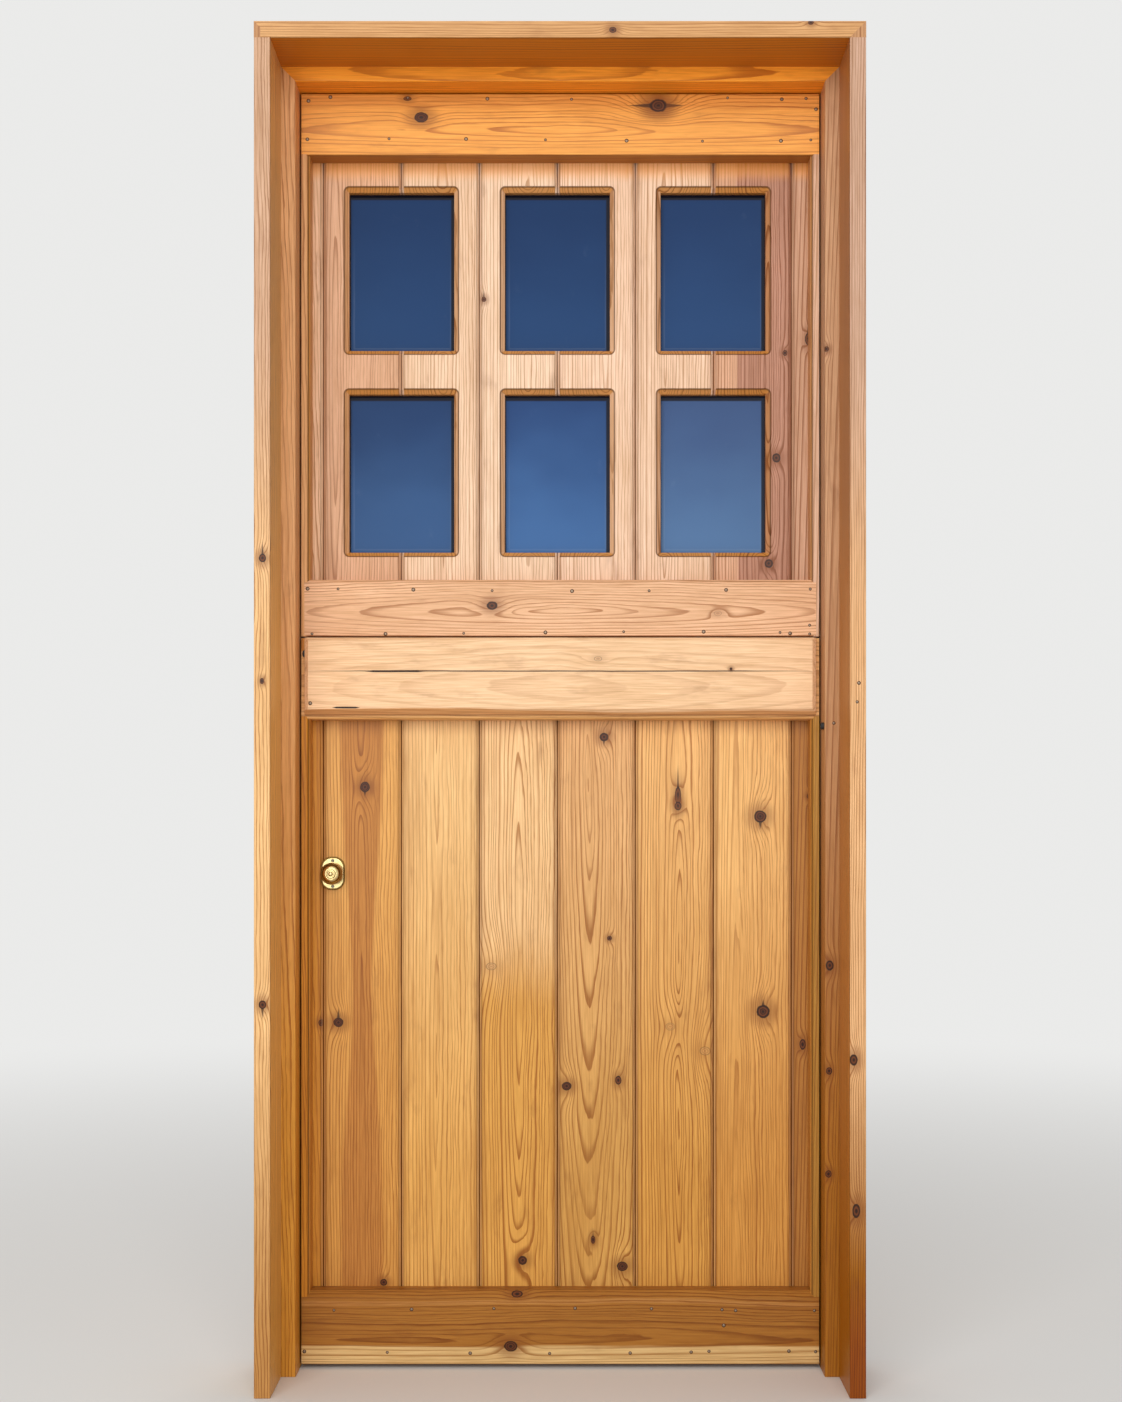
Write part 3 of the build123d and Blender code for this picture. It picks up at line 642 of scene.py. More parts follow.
@dataclass(frozen=True)
class Timber:
    """One board's wood under satin varnish, cut from its own place in a tree, in millimetres.

    Attributes:
        name: The material's name.
        grain: Which way the fibres run.
        tone: The early wood's colour.
        seed: Which wood it is.
        foot: The early wood's colour at the foot, where it is another: partly the wood's own tone and partly
            painted light and shade, the light's change down the door.
        foot_span: The heights where the foot's colour starts and where it is whole.
        ring: How wide a year's ring is.
        contrast: How much the late wood shows.
        pith_across: Where the tree's middle runs across the board.
        pith_depth: How far it runs from the plane y = 0.
        apex: Where along the board it comes nearest.
        lean: How far it draws away over a metre.
        waver: How far the rings sway.
        knots: Its knots.
        streaks: Its bands of another colour.
        edges: Where its joints are, across.
        cracks: Its cracks.
        edge_dark: How brown its edges are.
        joint_dark: How dark the stain in its joints is.
        upright_share: How much of the sides' varnish the upright sides take; level ones take it all.
        brow: The height from which a painted glow of bounce light lies on it under the rail above.
        knot_face: The face whose knots these are, where they would also show on the sides.
        base: How much darker its foot is.
        face: Its outer face, where its sides show.
        deep_colour: The sides' colour.
        deep_share: How much of that colour they take.
        thick: How far its sides reach behind its face.
        back_shade: How dark the painted shade is at the back of its sides.
        shine: The varnish's roughness.
    """

    name: str
    grain: Grain
    tone: Colour
    seed: float
    foot: Union[Colour, None] = None
    foot_span: Span = (1100.0, 250.0)
    ring: float = 5.0
    contrast: float = 0.75
    pith_across: float = 0.0
    pith_depth: float = 40.0
    apex: float = 0.0
    lean: float = 22.0
    waver: float = 5.0
    knots: tuple[Knot, ...] = ()
    streaks: tuple[Streak, ...] = ()
    edges: tuple[float, ...] = ()
    cracks: tuple[Crack, ...] = ()
    edge_dark: float = 0.72
    joint_dark: float = 0.0
    upright_share: float = 1.0
    brow: Union[float, None] = None
    knot_face: Union[float, None] = None
    base: float = 0.0
    face: Union[float, None] = None
    deep_colour: Colour = paint(206, 138, 58)
    deep_share: float = 0.74
    thick: float = 22.0
    back_shade: float = 0.0
    shine: float = 0.44

    def material(self) -> bpy.types.Material:
        """Build the wood's material.

        Returns:
            The material, ready to be put on a board.
        """
        recipe = Recipe(self.name)
        wood = Wood(recipe, self.grain, self.seed, self.tone)
        late, fars = self._grow(wood)
        self._colour(wood, late)
        self._add_marks_and_painted_glow(wood)
        for knot, far in zip(self.knots, fars):
            self._dress_knot(wood, knot, far)
        clear = self._stain_joints_and_paint_highlights(wood)
        if self.face is not None:
            self._varnish_and_shade_sides(wood, late, clear)
        height = late * VARNISH.late_height + wood.fibre * VARNISH.fibre_height
        for crack in self.cracks:
            mask = crack.mask(wood)
            wood.over(mask, CRACK_BROWN)
            height = height - mask * VARNISH.crack_height
        gloss = (wood.fibre * VARNISH.fibre_gloss - late * VARNISH.late_gloss
                 + wood.cloud * VARNISH.cloud_gloss)
        return recipe.finish({
            "Base Color": wood.colour, "Roughness": gloss + self.shine,
            "Normal": recipe.bump(height, VARNISH.relief), "Coat Weight": VARNISH.coat,
            "Coat Roughness": VARNISH.coat_roughness, "Specular IOR Level": VARNISH.specular})

    def _grow(self, wood: Wood) -> tuple[Field, list[Field]]:
        """Lay the year rings round the tree's middle, bent round the knots.

        Args:
            wood: The board in the making.

        Returns:
            How much late wood is at each point, and each knot's distance field in knot radii.
        """
        recipe = wood.recipe
        side = (wood.across - self.pith_across + wood.slow * self.waver
                + wood.quick * GROWTH.quick_sway + wood.ripple * GROWTH.ripple_sway)
        behind = (abs(wood.along - self.apex) * (self.lean / PER_METRE)
                  + wood.depth * GROWTH.depth_share + self.pith_depth)
        radius = ((side * side + behind * behind).root() + wood.quick * GROWTH.quick_push
                  + wood.slow * GROWTH.slow_push + wood.ripple * GROWTH.ripple_push)
        radius, fars = self._bend(recipe, radius)
        drift = recipe.noise(recipe.vector(radius / GROWTH.drift, 0.0, 0.0),
                             self.seed + GROWTH.drift_shift, 1.0)
        turn = (radius + drift * GROWTH.drift_push) / self.ring
        ring = turn.fraction()
        years = recipe.noise(recipe.vector(turn / GROWTH.years, 0.0, wood.along / GROWTH.years_length),
                             self.seed + GROWTH.years_shift, 1.0)
        weight = years * GROWTH.years_share + wood.cloud * GROWTH.cloud_share + GROWTH.late_level
        late = ring.rise(*GROWTH.late_starts) * ring.rise(*GROWTH.late_stops)
        return late * weight.most(GROWTH.late_least), fars

    def _bend(self, recipe: Recipe, radius: Field) -> tuple[Field, list[Field]]:
        """Bend the rings round the knots.

        Args:
            recipe: The material in the making.
            radius: How far each point is from the tree's middle.

        Returns:
            The bent radius, and each knot's distance field in knot radii.
        """
        fars = []
        ragged = recipe.noise(recipe.scaled(KNOT.ragged, KNOT.ragged, KNOT.ragged),
                              self.seed + KNOT.ragged_shift)
        for knot in self.knots:
            x = (recipe.x - knot.x) / knot.radius
            z = (recipe.z - knot.z) / knot.radius
            long, wide = self.grain.order(z, x)
            stretched = long / knot.stretch
            out = stretched * stretched + wide * wide
            reach = ((long * long * KNOT.bend_along + wide * wide * KNOT.bend_across)
                     * (KNOT.bend_swirl / knot.swirl ** 2))
            if self.knot_face is not None:
                sunk = (recipe.y - self.knot_face) / (knot.radius * KNOT.sunk)
                out = out + sunk * sunk
                reach = reach + sunk * sunk
            fars.append(out.root() + ragged * KNOT.ragged_share)
            radius = radius + reach.fade() * (knot.radius * KNOT.bend_push)
        return radius, fars

    def _colour(self, wood: Wood, late: Field) -> None:
        """Colour the board's early and late wood, its foot (partly painted light and shade), its streaks and
        its fibres.

        Args:
            wood: The board in the making.
            late: How much late wood is at each point.
        """
        recipe = wood.recipe
        # The foot's colour is partly the wood's own and partly painted light and shade, for the light's
        # change from top to bottom of the door.
        if self.foot is not None:
            height = recipe.z + wood.slow * WOOD_COLOUR_AND_LIGHT.foot_slow + wood.quick * WOOD_COLOUR_AND_LIGHT.foot_quick
            wood.over(height.rise(*self.foot_span), self.foot)
        for streak in self.streaks:
            wood.over(streak.share(wood), streak.colour)
        wood.over(late * self.contrast, wood.times(LATE_WOOD))
        shift = (wood.fibre * WOOD_COLOUR_AND_LIGHT.fibre + wood.figure(STRAND) * WOOD_COLOUR_AND_LIGHT.strand
                 + wood.cloud * WOOD_COLOUR_AND_LIGHT.cloud)
        wood.colour = wood.times(recipe.vector(*(shift * slope + level for slope, level in WOOD_COLOUR_AND_LIGHT.tints)))

    def _add_marks_and_painted_glow(self, wood: Wood) -> None:
        """Add specks, flames, stains, a dark foot and a painted glow of bounce light under a rail.

        Args:
            wood: The board in the making.
        """
        recipe = wood.recipe
        wood.over(wood.figure(SPECKS).rise(*WOOD_COLOUR_AND_LIGHT.specks) * WOOD_COLOUR_AND_LIGHT.specks_share, SAP_BROWN)
        wood.over(wood.figure(FLAME).rise(*WOOD_COLOUR_AND_LIGHT.flame) * WOOD_COLOUR_AND_LIGHT.flame_share, wood.times(LATE_WOOD))
        wood.over(wood.stain.rise(*WOOD_COLOUR_AND_LIGHT.stain) * WOOD_COLOUR_AND_LIGHT.stain_share, SAP_BROWN)
        if self.base:
            low = recipe.z.rise(*WOOD_COLOUR_AND_LIGHT.base) * self.base
            wood.colour = wood.times(recipe.vector(*(1 - low * share for share in WOOD_COLOUR_AND_LIGHT.base_tints)))
        # Painted light: the boards' faces glow warm with bounce light just under the rail above.
        if self.brow is not None:
            outer = (wood.depth - BOARD_FACE).rise(*WOOD_COLOUR_AND_LIGHT.brow_depth)
            height = recipe.z + wood.quick * WOOD_COLOUR_AND_LIGHT.brow_wander
            wood.over(height.rise(self.brow, self.brow + WOOD_COLOUR_AND_LIGHT.brow_reach) * outer * WOOD_COLOUR_AND_LIGHT.brow_share, PAINTED_BOUNCE_GLOW)

    def _dress_knot(self, wood: Wood, knot: Knot, far: Field) -> None:
        """Colour a knot: a brown heart with its own rings, a dark rim, a warm halo and a spike.

        Args:
            wood: The board in the making.
            knot: The knot.
            far: How far each point is from it, in knot radii.
        """
        mix = wood.recipe.mix
        wood.over(far.rise(*KNOT.halo) * (KNOT.halo_share * knot.darkness), SAP_BROWN)
        if knot.spike:
            wood.over(self._spike(wood, knot) * KNOT.spike_share, PITCH_BROWN)
        rings = (far * (knot.radius * KNOT.rings)).sine() * 0.5 + 0.5
        if knot.darkness < KNOT.faint_under:
            core = mix(rings, *(blended(self.tone, SAP_BROWN, brown) for brown in KNOT.faint_browns))
        else:
            core = mix(far.rise(*KNOT.heart) * KNOT.heart_share, mix(rings, KNOT.pale, KNOT.dark),
                       KNOT.heart_colour)
        wood.over(far.rise(*KNOT.core) * min(1.0, KNOT.core_least + KNOT.core_rest * knot.darkness), core)
        wood.over(abs(far - KNOT.rim).rise(*KNOT.rim_span) * (KNOT.rim_share * knot.darkness), PITCH_BROWN)

    def _spike(self, wood: Wood, knot: Knot) -> Field:
        """Where a knot's spike is dark.

        Args:
            wood: The board in the making.
            knot: The knot.

        Returns:
            1 in the spike and 0 beside it.
        """
        start, middle = self.grain.order(knot.z, knot.x)
        share = (wood.along - start) / knot.spike
        wide = (1 - share) * (knot.radius * KNOT.spike_width)
        mask = (wide - abs(wood.across - middle)).rise(*KNOT.spike_border) * share.rise(*KNOT.spike_start)
        if self.knot_face is not None:
            mask = mask * (wood.depth - self.knot_face).rise(knot.radius, 0.0)
        return mask

    def _stain_joints_and_paint_highlights(self, wood: Wood) -> Number:
        """Darken the board's edges, with a line in each joint and a painted highlight on the groove's slopes
        beside it.

        Args:
            wood: The board in the making.

        Returns:
            1 away from the joints, falling to 0 in them.
        """
        clear: Number = 1.0
        # Painted highlight: the board's tone paled, for the lit slopes of each groove.
        groove_highlight = blended(self.tone, PAINTED_GROOVE_HIGHLIGHT, JOINT.highlight_pale)
        for edge in self.edges:
            off = abs(wood.across - edge + wood.quick * JOINT.wander)
            halo = off.rise(*JOINT.halo) * (wood.stain + 1)
            wood.over(halo * (self.joint_dark * JOINT.halo_share), SAP_BROWN)
            wood.over(off.rise(*JOINT.edge) * self.edge_dark, SAP_BROWN)
            line = off.rise(*JOINT.line) * (wood.stain * JOINT.line_stain + JOINT.line_level)
            wood.over(line * self.joint_dark, JOINT_BROWN)
            # Painted highlight on the groove's slopes beside the joint's line.
            beside = off.rise(*JOINT.highlight_inner) * off.rise(*JOINT.highlight_outer)
            wood.over(beside * (self.joint_dark * JOINT.highlight_share), groove_highlight)
            clear = off.rise(*JOINT.clear) * clear
        return clear

    def _varnish_and_shade_sides(self, wood: Wood, late: Field, clear: Number) -> None:
        """Varnish the sides behind the face, with a dark line at their front and painted shade at their back.

        Args:
            wood: The board in the making.
            late: How much late wood is at each point.
            clear: 1 away from the joints and 0 in them.
        """
        sunk = wood.depth - self.face
        inside = sunk.rise(*(self.thick - edge for edge in SIDE.back))
        brown = blended(self.deep_colour, SAP_BROWN, SIDE.late_brown)
        varnished = wood.recipe.mix(late * self.contrast, self.deep_colour, brown)
        share = wood.recipe.level.rise(*SIDE.level) * (1 - self.upright_share) + self.upright_share
        wood.over(sunk.rise(*SIDE.deep) * inside * clear * share * self.deep_share, varnished)
        line = sunk.rise(*SIDE.line_starts) * sunk.rise(*SIDE.line_stops) * clear * SIDE.line_share
        # Painted shade: the back of the sides darkens to pitch brown deep in the openings.
        wood.over(line + sunk.rise(*SIDE.back_shade) * inside * self.back_shade, PITCH_BROWN)


class Bench:
    """Where nodes are dressed and new pieces are made and handed to their bodies."""

    def __init__(self) -> None:
        """Start with nothing dressed."""
        self.dressed: set[str] = set()

    def dress(self, node: str, material: bpy.types.Material) -> None:
        """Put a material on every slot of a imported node.

        Args:
            node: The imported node.
            material: Its material.
        """
        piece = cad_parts[node]
        if not piece.material_slots:
            piece.data.materials.append(material)
        for slot in piece.material_slots:
            slot.material = material
        self.dressed.add(node)
        log.info("%s: dressed in %s", node, material.name)

    def add(self, mesh: bmesh.types.BMesh, name: str, body: str, slot: str,
            material: bpy.types.Material, smooth: bool = False) -> bpy.types.Object:
        """Turn a mesh into a piece that rides on a body.

        Args:
            mesh: The finished mesh, in metres where it lies in the door.
            name: The piece's name.
            body: The body that carries it.
            slot: A material slot's name; not used.
            material: Its material.
            smooth: Whether its faces are shaded smooth.

        Returns:
            The piece.
        """
        data = bpy.data.meshes.new(name)
        bmesh.ops.recalc_face_normals(mesh, faces=mesh.faces)
        mesh.to_mesh(data)
        mesh.free()
        for face in data.polygons:
            face.use_smooth = smooth
        data.materials.append(material)
        piece = bpy.data.objects.new(name, data)
        bpy.context.scene.collection.objects.link(piece)
        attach(piece, body)
        log.info("%s: %d faces on %s", name, len(data.polygons), body)
        return piece


@dataclass(frozen=True)
class WearAndPaintedShade:
    """How the metals are worn, with a painted dark reflection on the flanks and painted shade behind a depth:
    noise sizes in millimetres, spans and shares.
    """

    broad: float = 9.0
    broad_seed: float = 2.0
    close: float = 1.6
    close_seed: float = 4.0
    close_share: float = 0.35
    stain: Span = (-0.1, 0.65)
    stain_share: float = 0.5
    # Painted dark reflection on the flanks, by how far they turn from the front.
    painted_dark_flank: Span = (0.93, 0.45)
    painted_dark_flank_share: float = 0.95
    # Over how many millimetres the painted shade behind a depth fades in.
    behind: float = 0.6
    dulling: float = 0.14
    broad_height: float = 0.5
    rubbed_height: float = 0.02
    plain_height: float = 0.12
    relief: float = 0.05
    hammered_relief: float = 0.4


WEAR_AND_SHADE = WearAndPaintedShade()


@dataclass(frozen=True)
class Metal:
    """A metal finish, or a dull one where it is hardly metallic.

    Attributes:
        name: The material's name.
        colour: Its bare colour.
        stain: Its tarnish.
        shine: Its roughness where it is bare.
        hammered: How uneven it is, 0 to 1.
        metallic: How much of a metal it is.
        rubbed_with_dark_flanks: Whether its front is worn bright and smooth and its flanks are painted dark,
            a painted dark reflection.
        painted_dark_behind: The depth behind which it is painted as dark as the tarnish, painted shade at its
            back, in millimetres along Y.
    """

    name: str
    colour: Colour
    stain: Colour
    shine: float
    hammered: float = 0.0
    metallic: float = 1.0
    rubbed_with_dark_flanks: bool = False
    painted_dark_behind: Union[float, None] = None

    def material(self) -> bpy.types.Material:
        """Build the metal's material.

        Returns:
            The material.
        """
        recipe = Recipe(self.name)
        broad = recipe.noise(recipe.scaled(WEAR_AND_SHADE.broad, WEAR_AND_SHADE.broad, WEAR_AND_SHADE.broad), WEAR_AND_SHADE.broad_seed, 3.0)
        close = recipe.noise(recipe.scaled(WEAR_AND_SHADE.close, WEAR_AND_SHADE.close, WEAR_AND_SHADE.close), WEAR_AND_SHADE.close_seed)
        stain = (broad + close * WEAR_AND_SHADE.close_share).rise(*WEAR_AND_SHADE.stain)
        share = stain * WEAR_AND_SHADE.stain_share
        # Painted dark reflection: the flanks that turn from the front are darkened to the tarnish colour.
        if self.rubbed_with_dark_flanks:
            share = share.most(recipe.front.rise(*WEAR_AND_SHADE.painted_dark_flank) * WEAR_AND_SHADE.painted_dark_flank_share)
        # Painted shade: all behind the given depth, at the piece's back, is as dark as the tarnish.
        if self.painted_dark_behind is not None:
            share = share.most(recipe.y.rise(self.painted_dark_behind, self.painted_dark_behind + WEAR_AND_SHADE.behind))
        close_height = WEAR_AND_SHADE.rubbed_height if self.rubbed_with_dark_flanks else WEAR_AND_SHADE.plain_height
        height = broad * (WEAR_AND_SHADE.broad_height * self.hammered) + close * close_height + 0.5
        return recipe.finish({
            "Base Color": recipe.mix(share, self.colour, self.stain), "Metallic": self.metallic,
            "Roughness": stain * WEAR_AND_SHADE.dulling + self.shine,
            "Normal": recipe.bump(height, WEAR_AND_SHADE.relief + WEAR_AND_SHADE.hammered_relief * self.hammered)})


BRASS = Metal("turned_brass", paint(240, 218, 156), paint(122, 90, 44), 0.20, rubbed_with_dark_flanks=True)
# The rosette is painted dark behind 60.7 mm, painted shade at its back.
ROSETTE_BRASS = Metal("rosette_brass", paint(226, 206, 148), paint(104, 76, 36), 0.20, rubbed_with_dark_flanks=True,
                      painted_dark_behind=60.7)
LATCH_BRASS = Metal("latch_brass", paint(205, 170, 100), paint(140, 104, 58), 0.28)
IRON = Metal("black_iron", paint(40, 39, 41), paint(66, 58, 52), 0.46, hammered=0.5, metallic=0.35)
STEEL = Metal("bolt_steel", paint(176, 177, 180), paint(118, 114, 108), 0.30)
SCREW = Metal("screw_steel", paint(132, 126, 114), paint(80, 70, 58), 0.40)
NAIL = Metal("nail_heads", paint(150, 132, 112), paint(96, 66, 44), 0.45, metallic=0.6)
RUBBER = Metal("black_rubber", paint(34, 31, 30), paint(58, 52, 48), 0.6, metallic=0.0)
PIT = Metal("nail_pits", paint(74, 42, 22), paint(48, 26, 13), 0.7, metallic=0.0)


@dataclass(frozen=True)
class Pane:
    """Dark blue window glass with the sky's reflection painted into its colour and painted shade at its rim,
    in millimetres.

    Attributes:
        name: The material's name.
        top: Its colour at the top, a painted reflection of the sky.
        bottom: Its colour at the bottom, a painted reflection of the sky.
        middle: Its middle, across and up.
        half: Half its width and half its height.
        seed: Which cloud its painted reflection shows.
    """

    name: str
    top: Colour
    bottom: Colour
    middle: Span
    half: Span
    seed: float
    reflected_cloud_size: Point = (150.0, 40.0, 110.0)
    reflected_cloud_sway: float = 70.0
    smudge_size: Point = (30.0, 30.0, 42.0)
    smudge: Span = (0.25, 0.8)
    smudge_share: float = 0.22
    # The pale colour of the smudges and of the painted reflection of the pane's border.
    haze: Colour = (0.6, 0.7, 0.85)
    haze_share: float = 0.16
    ragged: float = 0.8
    # The painted reflection of the pane's border: a faint pale line inside its edge, strongest low in the
    # pane.
    reflected_border_in: float = 15.0
    line: Span = (2.2, 0.4)
    reflected_border_fade: Span = (40.0, 240.0)
    line_share: float = 0.30
    # Painted shade: dark at the pane's rim, and in a band under the top of the opening and along its right
    # side.
    rim: Span = (10.8, 8.8)
    shadow: Span = (17.5, 15.0)
    shadow_side: float = 2.0
    shade_share: float = 0.90
    shade: Colour = paint(20, 12, 10)
    dull: Span = (-0.2, 0.8)
    roughness: float = 0.08
    specular: float = 0.06
    relief: float = 0.12

    def material(self) -> bpy.types.Material:
        """Build the glass's material.

        Returns:
            The material.
        """
        recipe = Recipe(self.name)
        cloud = recipe.noise(recipe.scaled(*self.reflected_cloud_size), self.seed, 2.0)
        smudge = recipe.noise(recipe.scaled(*self.smudge_size), self.seed + 2, 3.0)
        low, high = self.middle[1] - self.half[1], self.middle[1] + self.half[1]
        pale = blended(self.bottom, self.haze, self.haze_share)
        # Painted reflection: the sky as a gradient from bottom to top, swayed by clouds.
        colour = recipe.mix((recipe.z + cloud * self.reflected_cloud_sway).rise(low, high), self.bottom, self.top)
        colour = recipe.mix(smudge.rise(*self.smudge) * self.smudge_share, colour, pale)
        from_side = self.half[0] - abs(recipe.x - self.middle[0])
        from_end = self.half[1] - abs(recipe.z - self.middle[1])
        border = from_side.least(from_end) + smudge * self.ragged
        fading = (recipe.z * -1 + high).rise(*self.reflected_border_fade)
        # Painted reflection of the pane's border, a faint pale line inside its edge.
        line = abs(border - self.reflected_border_in).rise(*self.line) * fading * self.line_share
        colour = recipe.mix(line, colour, pale)
        # Painted shade at the rim, under the top of the opening and along its right side.
        under = (high - recipe.z).least(self.half[0] - (recipe.x - self.middle[0]) + self.shadow_side)
        shade = border.rise(*self.rim).most(under.rise(*self.shadow)) * self.shade_share
        return recipe.finish({
            "Base Color": recipe.mix(shade, colour, self.shade),
            "Roughness": smudge.rise(*self.dull) * self.roughness + self.roughness,
            "Specular IOR Level": self.specular, "Normal": recipe.bump(cloud * 0.5 + 0.5, self.relief)})


def lathe(mesh: bmesh.types.BMesh, centre: Vector, outline: Sequence[tuple[float, float]], steps: int = 20,
          faces_in: bool = False) -> None:
    """Turn an outline round an axis that runs along Y.

    Args:
        mesh: The mesh to add to.
        centre: The axis's point on the face that the piece stands on.
        outline: Pairs of radius and height over that face, in metres.
        steps: How many sides the turning has.
        faces_in: True where the piece stands on an inside face and points along +Y.
    """
    way = 1 if faces_in else -1
    rings = []
    for radius, height in outline:
        y = centre.y + way * height
        if radius <= 0:
            rings.append([mesh.verts.new((centre.x, y, centre.z))])
            continue
        ring = []
        for step in range(steps):
            turn = 2 * math.pi * step / steps
            ring.append(mesh.verts.new((centre.x + radius * math.cos(turn), y,
                                        centre.z + radius * math.sin(turn))))
        rings.append(ring)
    for first, second in zip(rings, rings[1:]):
        for step in range(steps):
            corners = [first[step % len(first)], first[(step + 1) % len(first)],
                       second[(step + 1) % len(second)], second[step % len(second)]]
            corners = [corner for number, corner in enumerate(corners) if corner not in corners[:number]]
            if len(corners) > 2:
                mesh.faces.new(corners)


@dataclass
class NailRows:
    """The nails along one rail, in millimetres but for the face and the outlines' heights.

    Attributes:
        name: The piece's name.
        body: The body that carries it.
        face: The rail's face, in metres along Y.
        rows: Each row's height, and where its nails stand along it.
        radius: A nail head's radius.
        drift: How far the nails stray up and down.
        unevenness: How much the heads differ in size.
        steps: How many sides a head has.
        head: A head's outline, in shares of its radius and metres over the face.
        pit: The outline of the dark pit round it, in the same way.
    """

    name: str
    body: str
    face: float
    rows: tuple[tuple[float, tuple[float, ...]], ...]
    radius: float = 1.9
    drift: float = 2.0
    unevenness: float = 0.18
    steps: int = 14
    head: tuple[Span, ...] = ((1.0, -0.0002), (0.95, 0.0003), (0.55, 0.0005), (0.0, 0.00052))
    pit: tuple[Span, ...] = ((1.55, -0.0002), (1.5, 0.00006), (0.0, 0.00012))

    def build(self, bench: Bench) -> None:
        """Make the nail heads, each in its own small dark pit.

        Args:
            bench: Where the pieces are made.
        """
        heads, pits = bmesh.new(), bmesh.new()
        for height, places in self.rows:
            for number, x in enumerate(places):
                drift = self.drift * math.sin(7.1 * number + height)
                centre = Vector((x * MM, self.face, (height + drift) * MM))
                size = self.radius * MM * (1 + self.unevenness * math.sin(3.3 * number + height))
                for mesh, outline in ((pits, self.pit), (heads, self.head)):
                    lathe(mesh, centre, [(size * share, tall) for share, tall in outline], self.steps)
        bench.add(heads, self.name, self.body, "screw_steel", NAIL.material(), smooth=True)
        bench.add(pits, f"{self.name}_pits", self.body, "pine_rails", PIT.material(), smooth=True)


class Planking:
    """The boards of both leaves, left to right, with the looks of each."""

    PITCH = 133.3
    SHIFT = -5.0
    HALF = 451.5
    JOINTS = 7
    MIDDLE = 3
    # Where the painted glow of bounce light under the top rail starts, in millimetres up the door.
    PAINTED_GLOW_START = 2012.0

    def __init__(self, leaf: str) -> None:
        """Work out where one leaf's boards meet.

        Args:
            leaf: The leaf, upper or lower.
        """
        self.leaf = leaf
        joints = (self.SHIFT + self.PITCH * (number - self.MIDDLE) for number in range(self.JOINTS))
        self.edges = [-self.HALF, *joints, self.HALF]

    def timber(self, number: int, tone: Colour, **looks: object) -> Timber:
        """The wood of one board.

        Args:
            number: The board, from 1 on the left.
            tone: Its early wood.
            looks: What else sets it apart.

        Returns:
            The board's timber.
        """
        left, right = self.edges[number - 1], self.edges[number]
        settings: dict[str, object] = {
            "pith_across": (left + right) / 2, "edges": (left, right), "face": BOARD_FACE, "back_shade": 0.75,
            "seed": number * 3.17 + len(self.leaf), "upright_share": 0.5}
        if self.leaf == "upper":
            settings.update(brow=self.PAINTED_GLOW_START, edge_dark=0.34, joint_dark=0.60, deep_share=0.88)
        else:
            settings.update(edge_dark=0.40, joint_dark=0.85)
        settings.update(looks)
        return Timber(f"{self.leaf}_board_{number}", Grain.UPRIGHT, tone, **settings)


